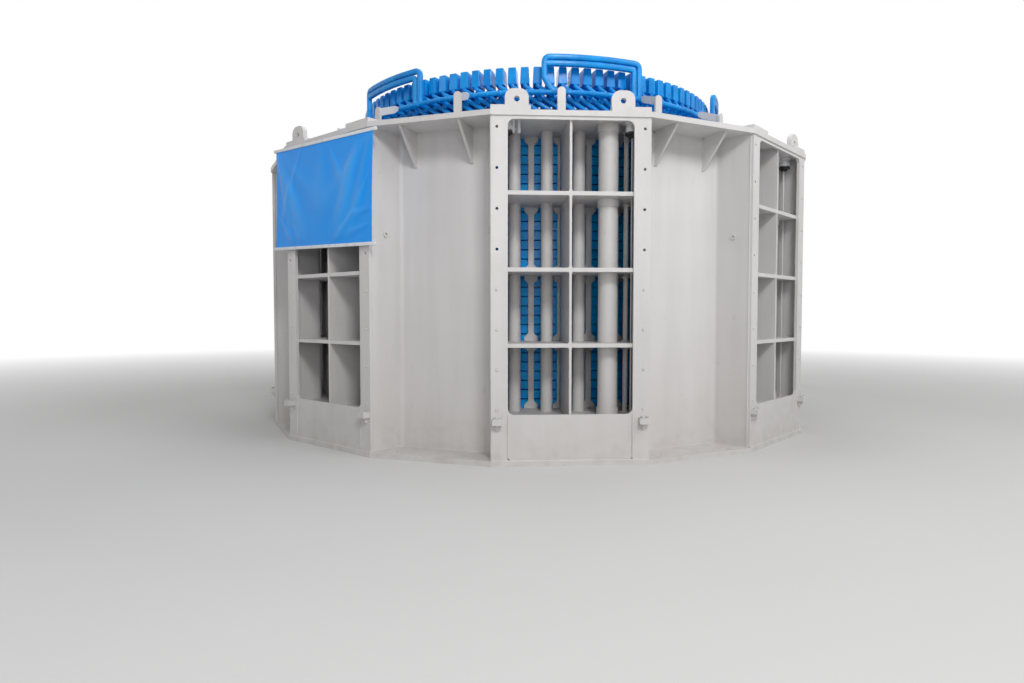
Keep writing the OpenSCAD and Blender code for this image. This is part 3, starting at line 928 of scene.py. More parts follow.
@dataclass
class CadDress:
    """Gives every CAD node the finish of its material slot."""

    taped_nodes: tuple[str, ...] = ("slot_bars",)

    def build(self, kit: Builder) -> None:
        """Paints the CAD nodes.

        Args:
            kit: the recipes and finishes.
        """
        by_slot = {"frame_paint": kit.finishes.paint, "winding_enamel": kit.finishes.enamel,
                   "core_enamel": kit.finishes.core, "dark_steel": kit.finishes.dark_steel,
                   "banner_vinyl": kit.finishes.vinyl, "batten_white": kit.finishes.batten}
        slots = {part["node"]: part["material_slot"] for part in frame["record"]["subparts"]}
        for name, node in frame["nodes"].items():
            finish = kit.finishes.slot_tape if name in self.taped_nodes else by_slot[slots[name]]
            node.data.materials.clear()
            node.data.materials.append(finish)
        LOG.info("CAD nodes painted: %d", len(frame["nodes"]))


# ---- The welded frame ----


@dataclass
class FrameWelds:
    """Weld beads where the frame's plates meet."""

    bead: float = 0.006
    gusset_offset: float = 0.242
    gusset_length: float = 0.270
    gusset_notch: float = 0.024
    gusset_thickness: float = 0.020
    pad_length: float = 0.292
    pad_depth: float = 0.130
    pad_height: float = 0.035
    lug_width: float = 0.175
    lug_thickness: float = 0.040
    lug_back: float = 0.060
    front_lug: float = 0.395
    slanting_lug: float = 0.500
    rib_half: float = 0.009
    rib_weld: float = 0.500
    closing_gap: float = 0.016
    bend_steps: int = 5

    def build(self, kit: Builder) -> None:
        """Lays all the beads.

        Args:
            kit: the recipes and finishes.
        """
        jobs = (("window_welds", self.window_lines(), SIDES, 0.0),
                ("panel_welds", self.panel_lines(), SIDES, SIDE_TURN / 2),
                ("lug_welds_front", self.lug_lines(self.front_lug), 2, 0.0),
                ("lug_welds_right", self.lug_lines(self.slanting_lug), 2, SIDE_TURN),
                ("lug_welds_left", self.lug_lines(-self.slanting_lug), 2, -SIDE_TURN),
                ("lug_welds_front_left", self.lug_lines(-self.front_lug), 2, 0.0))
        for name, lines, count, phase in jobs:
            mesh = kit.recipes.bead.make(lines, name, Bead_Radius=self.bead, Around=count, Phase=phase,
                                         Material=kit.finishes.weld)
            kit.place(mesh, "frame_paint", smooth=True)

    def window_lines(self) -> Form:
        """Draws the weld lines round one window.

        Returns:
            The lines.
        """
        lines = Form()
        face, half, opening = SIZES.face, SIZES.window_half, SIZES.opening_half
        inner = face - SIZES.window_plate
        for z in (SIZES.under_top, SIZES.plate):
            lines.line([(-half, -face, z), (half, -face, z)])
        for side in (-1, 1):
            lines.line([(side * half, -inner, SIZES.plate), (side * half, -inner, SIZES.under_top)])
            x = side * opening
            lines.line([(x, -face, SIZES.plate + self.closing_gap), (x, -face, SIZES.closing_top)])
            edge, back = half - self.pad_length, -face + self.pad_depth
            lines.line([(side * half, back, SIZES.top), (side * edge, back, SIZES.top),
                        (side * edge, -face, SIZES.top), (side * half, -face, SIZES.top)])
            lines.line([(side * half, back, SIZES.top), (side * half, -face, SIZES.top)])
        for low, high in SIZES.bays():
            for side in (-1, 1):
                x = side * self.rib_half
                for z in (low, high):
                    lines.line([(x, -inner, z), (x, -inner + self.rib_weld, z)])
        return lines

    def panel_lines(self) -> Form:
        """Draws the weld lines of one recessed panel and its gussets.

        Returns:
            The lines.
        """
        lines = Form()
        path = self.panel_path()
        for z in (SIZES.under_top, SIZES.plate):
            lines.line([(x, y, z) for x, y in path])
        web, under = -SIZES.web, SIZES.under_top
        for side in (-1, 1):
            for flank in (-1, 1):
                x = side * self.gusset_offset + flank * self.gusset_thickness / 2
                lines.line([(x, web, under - self.gusset_notch), (x, web, under - self.gusset_length)])
                lines.line([(x, web - self.gusset_notch, under), (x, web - self.gusset_length, under)])
        return lines

    def panel_path(self) -> list[Flat]:
        """Draws the outer face of a recessed panel in plan.

        Returns:
            The path's points from left to right.
        """
        slope = SIDE_TURN / 2
        corner = Vector((-SIZES.panel_half, -SIZES.panel_face))
        along = Vector((math.sin(slope), math.cos(slope)))
        foot, knee = corner + along * SIZES.window_plate, corner + along * SIZES.wall_depth
        half = [tuple(foot), tuple(knee)]
        return eased(half + [(-x, y) for x, y in reversed(half)], SIZES.bend, self.bend_steps, UNDIVIDED)

    def lug_lines(self, x: float) -> Form:
        """Draws the weld line round the foot of a lug.

        Args:
            x: the lug's distance from its window's centre.

        Returns:
            The line.
        """
        y0 = -SIZES.face + self.lug_back
        y1, z = y0 + self.lug_thickness, SIZES.top + self.pad_height
        half = self.lug_width / 2
        corners = [(x - half, y0, z), (x + half, y0, z), (x + half, y1, z), (x - half, y1, z)]
        return Form().line(corners, closed=True)


@dataclass
class WindowFastenings:
    """Studs in the posts' lower holes, bolts on the cooler supports and welded rib feet."""

    hole_x: float = 0.544
    hole_low: float = 0.420
    hole_pitch: float = 0.294
    stud_rows: int = 4
    stud_radius: float = 0.0105
    stud_sunk: float = 0.020
    stud_profile: tuple[Flat, ...] = ((0.7, 0.0), (1.0, 0.001), (1.0, 0.024), (0.8, 0.027), (0.3, 0.0275))
    bolt_spread: float = 0.020
    bolt_out: float = 0.034
    bolt_foot: float = 0.356
    washer_profile: tuple[Flat, ...] = ((0.0125, 0.0), (0.0125, 0.0025), (0.011, 0.003))
    bolt_profile: tuple[Flat, ...] = ((0.0095, 0.003), (0.0100, 0.004), (0.0100, 0.0105), (0.0085, 0.012))
    rib_half: float = 0.009
    foot_half: float = 0.016
    foot_height: float = 0.016
    foot_front: float = 0.002
    foot_back: float = 0.025

    def build(self, kit: Builder) -> None:
        """Builds the studs, the support bolts and the rib feet.

        Args:
            kit: the recipes and finishes.
        """
        studs, bolts = Form(), Form()
        for side in (-1, 1):
            studs.lathe(scaled(self.stud_profile, self.stud_radius), 12,
                        facing_out(side * self.hole_x, -SIZES.face + self.stud_sunk, self.hole_low))
            for dx in (-self.bolt_spread, self.bolt_spread):
                place = at(side * self.hole_x + dx, -SIZES.face - self.bolt_out, self.bolt_foot)
                bolts.lathe(self.washer_profile, 16, place).lathe(self.bolt_profile, 6, place)
        finish = kit.finishes
        kit.ring(studs, "post_studs", "frame_paint", finish.paint, smooth=True, Around=SIDES,
                 Rows=self.stud_rows, Rise=self.hole_pitch)
        kit.ring(bolts, "support_bolts", "dark_steel", finish.zinc, Around=SIDES)
        kit.ring(self.feet(), "rib_feet", "frame_paint", finish.paint, Around=SIDES)

    def feet(self) -> Form:
        """Builds the feet at both ends of one window's ribs.

        Returns:
            The feet.
        """
        feet = Form()
        front, back = (-SIZES.face + SIZES.window_plate + depth for depth in (self.foot_front, self.foot_back))
        outline = [(-self.foot_half, 0.0), (self.foot_half, 0.0), (self.rib_half, self.foot_height),
                   (-self.rib_half, self.foot_height)]
        hanging = [(x, -height) for x, height in reversed(outline)]
        for low, high in SIZES.bays():
            for z, shape in ((low, outline), (high, hanging)):
                feet.prism(shape, -back, -front, facing_out(0.0, 0.0, z))
        return feet


@dataclass
class CornerFittings:
    """Gland fittings in each window's upper corners, and the two thin pipes at its right edge."""

    fitting_x: Flat = (-0.468, 0.482)
    back: float = 0.150
    body_radius: float = 0.048
    body_height: float = 0.075
    body_profile: tuple[Flat, ...] = ((0.80, 0.0), (0.98, 0.003), (1.0, 0.010), (1.0, 0.04125), (0.86, 0.0465),
                                      (0.86, 0.060), (1.12, 0.063), (1.12, 0.075))
    ring_radius: float = 0.054
    ring_height: float = 0.022
    ring_profile: tuple[Flat, ...] = ((0.86, 0.0), (1.0, 0.003), (1.02, 0.010), (1.0, 0.017), (0.86, 0.0215))
    gland_profile: tuple[Flat, ...] = ((0.5, -0.016), (0.56, -0.012), (0.6, 0.001))
    nut_x: Flat = (-0.416, -0.375)
    nut_front: float = 0.020
    nut_height: float = 0.095
    nut_profile: tuple[Flat, ...] = ((0.010, 0.0), (0.012, 0.002), (0.012, 0.018), (0.0155, 0.020),
                                     (0.0155, 0.034), (0.011, 0.036), (0.011, 0.095))
    tube_radius: float = 0.006
    tube_short: float = 0.010
    pipe_spot: Flat = (0.482, -2.400)
    pipe_radius: float = 0.019
    collar_radius: float = 0.033
    collar_profile: tuple[Flat, ...] = ((0.92, 0.0), (1.0, 0.003), (1.0, 0.009), (0.92, 0.012))
    collar_below: float = 0.030

    def build(self, kit: Builder) -> None:
        """Builds the fittings, their rings and the pipes.

        Args:
            kit: the recipes and finishes.
        """
        bodies, rings = Form(), Form()
        y, top = -SIZES.face + self.back, SIZES.under_top
        foot = top - self.body_height
        for x in self.fitting_x:
            bodies.lathe(scaled(self.body_profile, self.body_radius), 24, at(x, y, foot))
            place = at(x, y, foot - self.ring_height)
            rings.lathe(scaled(self.ring_profile, self.ring_radius), 24, place)
            rings.lathe(scaled(self.gland_profile, self.body_radius), 16, place)
        for x in self.nut_x:
            bodies.lathe(self.nut_profile, 12, at(x, y - self.nut_front, top - self.nut_height))
        finish = kit.finishes
        for form, name, slot, material in ((bodies, "corner_fittings", "batten_white", finish.batten),
                                           (rings, "corner_fitting_rings", "dark_steel", finish.rubber),
                                           (self.pipes(y, foot), "drain_pipes", "frame_paint", finish.paint)):
            kit.ring(form, name, slot, material, smooth=True, Around=SIDES)

    def pipes(self, y: float, fitting_foot: float) -> Form:
        """Builds one window's thin pipes.

        Args:
            y: place of the fittings.
            fitting_foot: height of the fittings' undersides.

        Returns:
            The tube below the right fitting, and the pipe behind it with a collar at each shelf.
        """
        pipes = Form()
        length = fitting_foot - SIZES.sill - self.tube_short
        pipes.lathe([(self.tube_radius, 0.0), (self.tube_radius, length)], 12, at(self.fitting_x[1], y, SIZES.sill))
        for low, high in SIZES.bays():
            pipes.lathe([(self.pipe_radius, 0.0), (self.pipe_radius, high - low)], 20, at(*self.pipe_spot, low))
            for z in (low, high - self.collar_below):
                pipes.lathe(scaled(self.collar_profile, self.collar_radius), 20, at(*self.pipe_spot, z))
        return pipes


@dataclass
class TieRods:
    """Threaded ends of the tie rods with washers and chamfered nuts."""

    count: int = 56
    circle: float = 2.290
    rod_radius: float = 0.0205
    height: float = 0.140
    tip: float = 0.004
    thread_pitch: float = 0.007
    thread_root: float = 0.90
    nut_radius: float = 0.038
    nut_height: float = 0.038
    nut_profile: tuple[Flat, ...] = ((0.86, 0.006), (0.97, 0.009), (0.97, 0.034), (0.84, 0.038))
    washer_profile: tuple[Flat, ...] = ((1.12, 0.0), (1.12, 0.005), (1.08, 0.006))

    def build(self, kit: Builder) -> None:
        """Builds the rods, nuts and washers.

        Args:
            kit: the recipes and finishes.
        """
        place = at(0.0, -self.circle, SIZES.top)
        unit = Form().lathe(self.thread(), 12, place)
        unit.lathe(scaled(self.washer_profile, self.nut_radius), 24, place)
        unit.lathe(scaled(self.nut_profile, self.nut_radius), 6, place)
        kit.ring(unit, "tie_rod_nuts", "dark_steel", kit.finishes.dark_steel, ("tie_rod_ends",),
                 Around=self.count, Phase=math.pi / self.count)

    def thread(self) -> list[Flat]:
        """Draws the profile of a rod's threaded end above its nut.

        Returns:
            Radius and height of each ring.
        """
        crest, root, z = self.rod_radius, self.rod_radius * self.thread_root, self.nut_height
        profile = [(root, z)]
        while z + self.thread_pitch < self.height - self.tip:
            profile += [(root, z + self.thread_pitch * 0.5), (crest, z + self.thread_pitch)]
            z += self.thread_pitch
        return profile + [(crest * 0.88, self.height - self.tip / 2), (crest * 0.80, self.height)]


# ---- The core ----


@dataclass
class CoreFittings:
    """Slot wedges at the bore and the press fingers on the core's ends."""

    wedge_inner: float = 1.683
    wedge_outer: float = 1.716
    wedge_half: float = 0.0205
    wedge_face: float = 0.82
    wedge_chamfer: float = 0.008
    wedge_gap: float = 0.0015
    wedge_rows: int = 12
    core_top: float = 2.530
    finger_width: float = 0.017
    finger_height: float = 0.022
    finger_inner: float = 1.688
    finger_outer: float = 1.893
    finger_edge: float = 0.003

    def build(self, kit: Builder) -> None:
        """Builds the wedges and both rings of fingers.

        Args:
            kit: the recipes and finishes.
        """
        rise = (self.core_top - SIZES.sill) / self.wedge_rows
        half, inner, outer = self.wedge_half, -self.wedge_inner, -self.wedge_outer
        face, shoulder = half * self.wedge_face, inner - self.wedge_chamfer
        outline = [(-face, inner), (-half, shoulder), (-half, outer),
                   (half, outer), (half, shoulder), (face, inner)]
        wedge = Form().prism(outline, self.wedge_gap, rise - self.wedge_gap, at(0, 0, SIZES.sill))
        kit.ring(wedge, "slot_wedges", "core_enamel", kit.finishes.wedge, Around=SLOTS, Phase=PITCH / 2,
                 Rows=self.wedge_rows, Rise=rise)
        size = (self.finger_width, self.finger_outer - self.finger_inner, self.finger_height)
        middle = (self.finger_inner + self.finger_outer) / 2
        fingers = Form()
        for z in (self.core_top + self.finger_height / 2, SIZES.sill - self.finger_height / 2):
            fingers.block(size, at(0, -middle, z), self.finger_edge)
        kit.ring(fingers, "press_fingers", "core_enamel", kit.finishes.enamel, Around=SLOTS)


# ---- The winding ----


@dataclass
class EndWinding:
    """Slanting end bars in two layers, their caps and the blocks between them."""

    thickness: float = 0.034
    depth: float = 0.062
    bar_edge: float = 0.006
    bend: float = 0.075
    bend_steps: int = 4
    stride: float = 0.075
    tail: float = 0.030
    knee: float = 0.012
    outer_radius: float = 1.835
    inner_radius: float = 1.757
    top_turn: float = 2.640
    top_cap: float = 3.080
    top_lean: int = 6
    low_turn: float = 0.285
    low_cap: float = 0.095
    low_lean: int = 3
    cap_foot: float = 0.080
    cap_crown: float = 0.066
    cap_taper: float = 0.97
    cap_edge: float = 0.007
    top_cap_height: float = 0.145
    low_cap_height: float = 0.075
    cap_inner: float = 1.722
    cap_outer: float = 1.868
    spacer_length: float = 0.050
    spacer_share: float = 0.8
    spacer_height: float = 0.026
    spacer_edge: float = 0.004
    spacer_rows: Flat = (0.30, 0.72)

    def build(self, kit: Builder) -> None:
        """Builds both ends of the winding.

        Args:
            kit: the recipes and finishes.
        """
        layers = (("top_outer_end_bars", self.outer_radius, self.top_turn, self.top_cap, -self.top_lean),
                  ("top_inner_end_bars", self.inner_radius, self.top_turn, self.top_cap, self.top_lean),
                  ("low_outer_end_bars", self.outer_radius, self.low_turn, self.low_cap, -self.low_lean),
                  ("low_inner_end_bars", self.inner_radius, self.low_turn, self.low_cap, self.low_lean))
        for name, radius, start, end, lean in layers:
            self.bars(kit, name, radius, start, end, lean)
        self.caps(kit, "top", self.top_cap, self.top_cap_height, PITCH / 2)
        self.caps(kit, "low", self.low_cap, -self.low_cap_height, PITCH / 2 * (1 + self.low_lean))
        self.spacers(kit)

    def bars(self, kit: Builder, name: str, radius: float, start: float, end: float, lean: int) -> None:
        """Builds one layer of bars.

        Args:
            kit: the recipes and finishes.
            name: the CAD node that the layer replaces.
            radius: radius of the layer's middle.
            start: height where the bars leave the straight bars.
            end: height where they enter their caps.
            lean: slot pitches from start to end, counterclockwise from above.
        """
        way = math.copysign(1.0, end - start)
        across = lean * PITCH * radius
        corners = [(0.0, start - way * self.tail), (0.0, start + way * self.knee),
                   (across, end - way * self.knee), (across, end + way * self.tail)]
        line = eased(corners, self.bend, self.bend_steps, self.stride)
        path = Form().line([(x, 0.0, z) for x, z in line])
        mesh = kit.recipes.bar.make(path, name + "_taped", Depth=self.depth, Thickness=self.thickness,
                                    Edge_Radius=self.bar_edge, Wrap_Radius=radius, Around=SLOTS, Phase=PITCH / 2,
                                    Material=kit.finishes.taped)
        kit.place(mesh, "winding_enamel", (name,))

    def caps(self, kit: Builder, end: str, foot: float, height: float, phase: float) -> None:
        """Builds one ring of moulded caps over the bars' joints.

        Args:
            kit: the recipes and finishes.
            end: top or low, the end of the winding.
            foot: height where the caps start.
            height: the caps' height, below zero where they hang.
            phase: turn of the first cap.
        """
        place = at(0, -(self.cap_inner + self.cap_outer) / 2, foot + height / 2)
        if height < 0:
            place = place @ Matrix.Rotation(math.pi, 4, "Y")
        size = (self.cap_foot, self.cap_outer - self.cap_inner, abs(height))
        unit = Form().block(size, place, self.cap_edge, (self.cap_crown / self.cap_foot, self.cap_taper))
        kit.ring(unit, end + "_moulded_caps", "winding_enamel", kit.finishes.enamel, (end + "_coil_caps",),
                 Around=SLOTS, Phase=phase)

    def spacers(self, kit: Builder) -> None:
        """Builds the blocks tied between the slanting bars of each layer.

        Args:
            kit: the recipes and finishes.
        """
        unit = Form()
        size = (self.spacer_length, self.depth * self.spacer_share, self.spacer_height)
        rise = self.top_cap - self.top_turn
        for radius, lean in ((self.outer_radius, -self.top_lean), (self.inner_radius, self.top_lean)):
            run = lean * PITCH * radius
            slope = math.atan2(rise, abs(run)) * math.copysign(1.0, run)
            for share in self.spacer_rows:
                angle = lean * PITCH * share + PITCH / 2
                spot = Matrix.Rotation(angle, 4, "Z") @ at(0, -radius, self.top_turn + rise * share)
                unit.block(size, spot @ Matrix.Rotation(-slope, 4, "Y"), self.spacer_edge)
        kit.ring(unit, "end_bar_spacers", "winding_enamel", kit.finishes.enamel, Around=SLOTS, Phase=PITCH / 2)


@dataclass
class SupportRing:
    """Lashings on the winding's support ring, and the blocks tied between it and the bars."""

    radius: float = 1.945
    height: float = 2.985
    tube: float = 0.020
    band_width: float = 0.026
    band_radius: float = 0.0245
    band_profile: tuple[Flat, ...] = ((0.84, -0.5), (1.0, -0.32), (1.04, 0.0), (1.0, 0.32), (0.84, 0.5))
    bar_face: float = 1.862
    block_bite: float = 0.6
    block_width: float = 0.030
    block_height: float = 0.034
    block_edge: float = 0.006
    phase: float = 0.7

    def build(self, kit: Builder) -> None:
        """Builds the lashings and the blocks.

        Args:
            kit: the recipes and finishes.
        """
        lie = at(0, -self.radius, self.height) @ Matrix.Rotation(math.pi / 2, 4, "Y")
        unit = Form().lathe(scaled(self.band_profile, self.band_radius, self.band_width), 12, lie)
        outer = self.radius - self.tube * self.block_bite
        unit.block((self.block_width, outer - self.bar_face, self.block_height),
                   at(0, -(outer + self.bar_face) / 2, self.height), self.block_edge)
        kit.ring(unit, "ring_lashings", "winding_enamel", kit.finishes.enamel, smooth=True, Around=SLOTS,
                 Phase=PITCH * self.phase)


@dataclass
class BusBars:
    """Two curved rails on round-cornered legs, at one place on the support ring."""

    node: str
    start: float
    end: float
    curled_foot: bool = False
    radius: float = 1.945
    top: float = 3.300
    foot: float = 2.990
    height: float = 0.048
    depth: float = 0.044
    gap: float = 0.006
    edge: float = 0.013
    edge_steps: int = 3
    straight_leg: float = 0.120
    curl: tuple[Flat, Flat] = ((0.075, 0.0), (0.035, 0.055))
    outer_bend: float = 0.050
    inner_bend: float = 0.035
    bend_steps: int = 5
    stride: float = 0.090

    def build(self, kit: Builder) -> None:
        """Builds the bus.

        Args:
            kit: the recipes and finishes.
        """
        left = math.radians(self.start) * self.radius + self.depth / 2
        right = math.radians(self.end) * self.radius - self.depth / 2
        top = self.top - self.height / 2
        second = top - self.height - self.gap
        feet = [(left + x, self.foot + z) for x, z in (self.curl if self.curled_foot else ((0.0, 0.0),))]
        corners = feet + [(left, self.foot + self.straight_leg), (left, top), (right, top), (right, self.foot)]
        loop = eased(corners, self.outer_bend, self.bend_steps, self.stride)
        inner = right - self.height - self.gap
        rail = eased([(left, second), (inner, second), (inner, self.foot)], self.inner_bend, self.bend_steps,
                     self.stride)
        path = Form().line([(x, 0.0, z) for x, z in loop]).line([(x, 0.0, z) for x, z in rail])
        mesh = kit.recipes.bar.make(path, self.node + "_rails", Depth=self.depth, Thickness=self.height,
                                    Edge_Radius=self.edge, Edge_Steps=self.edge_steps, Wrap_Radius=self.radius,
                                    Material=kit.finishes.taped)
        kit.place(mesh, "winding_enamel", (self.node,), smooth=True)


# ---- The hung sheet ----


@dataclass(frozen=True)
class Fold:
    """A soft ridge in the sheet that widens and fades on its way."""

    start: Flat
    end: Flat
    width: float
    rise: float
    narrow: float = 0.45
    widening: float = 0.9
    reach: float = 0.92
    lead: float = 0.06

    def lift(self, u: float, v: float) -> float:
        """Works out how far the fold lifts the sheet at a point.

        Args:
            u: distance from the sheet's left edge, in metres.
            v: distance below its top edge, in metres.

        Returns:
            The lift, in metres.
        """
        here, start, end = Vector((u, v)), Vector(self.start), Vector(self.end)
        share = (here - start).dot(end - start) / (end - start).length_squared
        held = min(1.0, max(0.0, share))
        away = (here - (start + (end - start) * held)).length
        spread = self.width * (self.narrow + self.widening * held)
        fade = math.sin(math.pi * min(1.0, max(0.0, share * self.reach + self.lead)))
        return self.rise * fade * math.exp(-(away / spread) ** 2)


@dataclass
class HungSheet:
    """A bare vinyl sheet with a hem round a batten at the top and the bottom."""

    width: float = 1.400
    height: float = 0.888
    left: float = -0.720
    top: float = 2.5585
    slant: float = 0.030
    back: float = 2.7520
    batten_depth: float = 0.014
    batten_height: float = 0.026
    batten_over: float = 0.034
    batten_edge: float = 0.005
    clip_depth: float = 0.005
    clip_gap: float = 0.0025
    clip_edge: float = 0.002
    thickness: float = 0.0012
    columns: int = 140
    rows: int = 92
    waves: float = 0.0035
    wave_scale: Point = (3.1, 2.3, 0.7)
    hem_ease: float = 0.050
    pull: float = 0.010
    folds: tuple[Fold, ...] = (
        Fold((0.02, 0.03), (0.52, 0.86), 0.075, 0.018),
        Fold((0.02, 0.03), (0.30, 0.86), 0.050, 0.011),
        Fold((0.02, 0.03), (0.86, 0.60), 0.085, 0.010),
        Fold((1.20, 0.10), (0.90, 0.86), 0.085, 0.020),
        Fold((1.38, 0.03), (1.08, 0.86), 0.055, 0.012),
        Fold((1.38, 0.03), (0.66, 0.62), 0.080, 0.010),
        Fold((0.70, 0.03), (0.74, 0.58), 0.110, 0.008),
        Fold((1.39, 0.60), (1.06, 0.66), 0.030, 0.008),
        Fold((1.39, 0.72), (1.02, 0.80), 0.028, 0.008),
        Fold((0.30, 0.66), (0.44, 0.86), 0.030, 0.008),
        Fold((0.40, 0.04), (0.07, 0.72), 0.036, 0.010),
        Fold((0.80, 0.06), (1.06, 0.44), 0.034, 0.010),
        Fold((1.36, 0.34), (1.16, 0.64), 0.030, 0.010),
        Fold((1.20, 0.60), (0.88, 0.86), 0.032, 0.012),
        Fold((0.05, 0.58), (0.32, 0.86), 0.030, 0.010),
    )

    def build(self, kit: Builder) -> None:
        """Builds the sheet and its battens.

        Args:
            kit: the recipes and finishes.
        """
        battens = self.battens(kit)
        sheet = kit.place(self.sheet_mesh(), "banner_vinyl", ("banner",), kit.finishes.vinyl, smooth=True)
        solid = sheet.modifiers.new("thickness", "SOLIDIFY")
        solid.thickness, solid.offset = self.thickness, 0.0

    @property
    def turn(self) -> Matrix:
        """The turn from the front window to the sheet's window, with the sheet's slight slant."""
        middle = at(self.left + self.width / 2, 0.0, self.top - self.height / 2)
        slanted = middle @ Matrix.Rotation(self.slant, 4, "Y") @ middle.inverted()
        return Matrix.Rotation(-SIDE_TURN, 4, "Z") @ slanted

    def battens(self, kit: Builder) -> bpy.types.Object:
        """Builds the battens behind the sheet's ends and the white clips in front of them.

        Args:
            kit: the recipes and finishes.

        Returns:
            The piece.
        """
        form = Form()
        length = self.width + 2 * self.batten_over
        out = self.batten_depth / 2 + self.clip_gap + self.clip_depth / 2
        for z in (self.top - self.batten_height / 2, self.top - self.height + self.batten_height / 2):
            place = self.turn @ at(self.left + self.width / 2, -self.back - self.batten_depth / 2, z)
            form.block((length, self.batten_depth, self.batten_height), place, self.batten_edge)
            form.block((length, self.clip_depth, self.batten_height), place @ at(0, -out, 0), self.clip_edge)
        return kit.place(form.data("hem_battens"), "batten_white", ("banner_battens",), kit.finishes.batten,
                         smooth=True)

    def relief(self, u: float, v: float) -> float:
        """Works out how far the sheet stands out at a point, which is nothing at its hems.

        Args:
            u: distance from the left edge, in metres.
            v: distance below the top edge, in metres.

        Returns:
            The height over the flat sheet, in metres.
        """
        x, y, z = self.wave_scale
        total = sum(fold.lift(u, v) for fold in self.folds) + self.waves * noise.noise(Vector((u * x, v * y, z)))
        inside = min(v - self.batten_height, self.height - self.batten_height - v)
        return total * min(1.0, max(0.0, inside / self.hem_ease))

    def sheet_mesh(self) -> bpy.types.Mesh:
        """Builds the folded sheet as one surface.

        Returns:
            The mesh, with its flat size as UV map and its folds' height as "rise".
        """
        form = Form().mesh
        layer = form.loops.layers.uv.new("cloth")
        rise = form.verts.layers.float.new("rise")
        face_y = self.back + self.batten_depth + self.thickness
        turn, grid = self.turn, []
        for row in range(self.rows + 1):
            v = self.height * row / self.rows
            line = []
            for column in range(self.columns + 1):
                u = self.width * column / self.columns
                height = self.relief(u, v)
                pull = self.pull * math.sin(math.pi * v / self.height) * (u / self.width * 2 - 1) ** 3
                vert = form.verts.new(turn @ Vector((self.left + u - pull, -face_y - height, self.top - v)))
                vert[rise] = height
                line.append((vert, (u, v)))
            grid.append(line)
        for upper, lower in zip(grid, grid[1:]):
            for k in range(self.columns):
                corners = (upper[k], lower[k], lower[k + 1], upper[k + 1])
                made = form.faces.new([vert for vert, _ in corners])
                for loop, (_, flat) in zip(made.loops, corners):
                    loop[layer].uv = flat
        mesh = bpy.data.meshes.new("hung_sheet")
        form.to_mesh(mesh)
        form.free()
        return mesh


# ---- The studio ----


@dataclass(frozen=True)
class Lamp:
    """One square soft lamp that looks at a point."""

    name: str
    place: Point
    target: Point
    size: float
    power: float

    def build(self) -> None:
        """Puts the lamp in the scene."""
        data = bpy.data.lights.new(self.name, "AREA")
        data.size, data.energy = self.size, self.power
        made = put(self.name, data)
        made.location = self.place
        made.rotation_euler = (Vector(self.target) - Vector(self.place)).to_track_quat("-Z", "Y").to_euler()


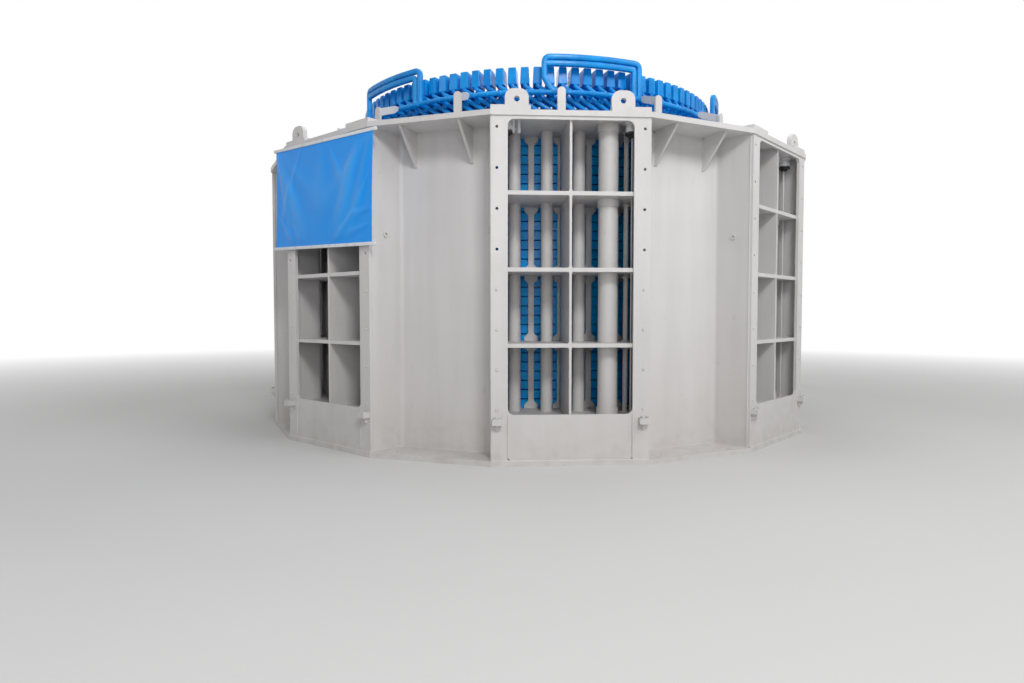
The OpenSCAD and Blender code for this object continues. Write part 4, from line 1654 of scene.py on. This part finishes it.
@dataclass
class Studio:
    """Plain pale floor, soft lights, white surroundings and the photograph's camera."""

    camera_place: Point = (-0.747, -7.735, 1.128)
    camera_tilt: float = -2.35
    camera_turn: float = -3.58
    lens: float = 24.05
    sensor: float = 36.0
    sight: float = 200.0
    floor_colour: Colour = (0.62, 0.617, 0.615)
    floor_cloud: float = 0.97
    floor_radius: float = 60.0
    floor_depth: float = 0.02
    floor_near: float = 5.0
    floor_far: float = 16.0
    ambient: float = 0.25
    lamps: tuple[Lamp, ...] = (
        Lamp("key", (7.0, -7.5, 8.5), (0.3, 0.0, 2.3), 5.0, 380.0),
        Lamp("front", (1.4, -12.0, 8.0), (0.0, -2.0, 2.2), 2.4, 560.0),
        Lamp("low_front", (-0.5, -12.0, 3.0), (0.0, -2.0, 2.7), 2.5, 110.0),
        Lamp("left", (-10.0, -5.0, 7.0), (0.0, 0.0, 2.6), 4.0, 95.0),
        Lamp("back", (1.0, 10.0, 6.5), (0.0, 0.0, 1.6), 6.0, 220.0),
        Lamp("top", (0.0, 0.0, 9.5), (0.0, 0.1, 0.0), 7.0, 260.0),
    )

    def build(self) -> None:
        """Builds the camera, the floor, the surroundings and the lamps."""
        self.camera()
        self.floor()
        self.world()
        for lamp in self.lamps:
            lamp.build()
        bpy.context.scene.view_settings.view_transform = "Standard"

    def camera(self) -> None:
        """Sets the camera at the photograph's viewpoint."""
        data = bpy.data.cameras.new("camera")
        data.lens, data.sensor_width, data.clip_end = self.lens, self.sensor, self.sight
        made = put("camera", data)
        made.location = self.camera_place
        made.rotation_euler = (math.radians(90.0 + self.camera_tilt), 0.0, math.radians(self.camera_turn))
        bpy.context.scene.camera = made

    def floor(self) -> None:
        """Lays the floor, which looks white far from the stator."""
        rim = [(self.floor_radius, -self.floor_depth), (self.floor_radius, 0.0)]
        mesh = Form().lathe(rim, 64, Matrix.Identity(4)).data("floor")
        made = put("floor", mesh)
        face = Surface("floor_paint", {"Roughness": 0.85, "Specular IOR Level": 0.2})
        clouded = tuple(part * self.floor_cloud for part in self.floor_colour)
        face.feed(face.shader.inputs["Base Color"], face.blend(face.noise(0.8, 3.0), self.floor_colour, clouded))
        far = face.ranged(face.from_axis(), self.floor_near, self.floor_far)
        white = face.node("ShaderNodeEmission", {"Color": WHITE, "Strength": 1.0})
        share = face.math("MULTIPLY", far, face.looked_at())
        mixed = face.node("ShaderNodeMixShader", {0: share, 1: face.shader, 2: white})
        face.feed(face.tree.nodes["Material Output"].inputs["Surface"], mixed)
        mesh.materials.append(face.material)

    def world(self) -> None:
        """Makes the surroundings white to look at and plainly lit otherwise."""
        world = bpy.data.worlds.new("surroundings")
        world.use_nodes = True
        pen = NodePen(world.node_tree)
        strength = pen.math("ADD", pen.math("MULTIPLY", pen.looked_at(), 1.0 - self.ambient), self.ambient)
        back = world.node_tree.nodes["Background"]
        back.inputs["Color"].default_value = WHITE
        pen.feed(back.inputs["Strength"], strength)
        bpy.context.scene.world = world


def main() -> None:
    """Builds the studio and every sub-assembly in order."""
    logging.basicConfig(level=logging.INFO, format="%(name)s %(message)s")
    Studio().build()
    kit = Builder(Recipes(), Finishes.build())
    for part in (CadDress(), FrameWelds(), WindowFastenings(), CornerFittings(), TieRods(), CoreFittings(),
                 EndWinding(), SupportRing(), BusBars("bus_front", -4.0, 22.5, curled_foot=True),
                 BusBars("bus_left", -62.0, -36.5), BusBars("bus_right", 58.0, 78.0), HungSheet()):
        LOG.info("building %s", type(part).__name__)
        part.build(kit)


if __name__ == "__main__":
    main()
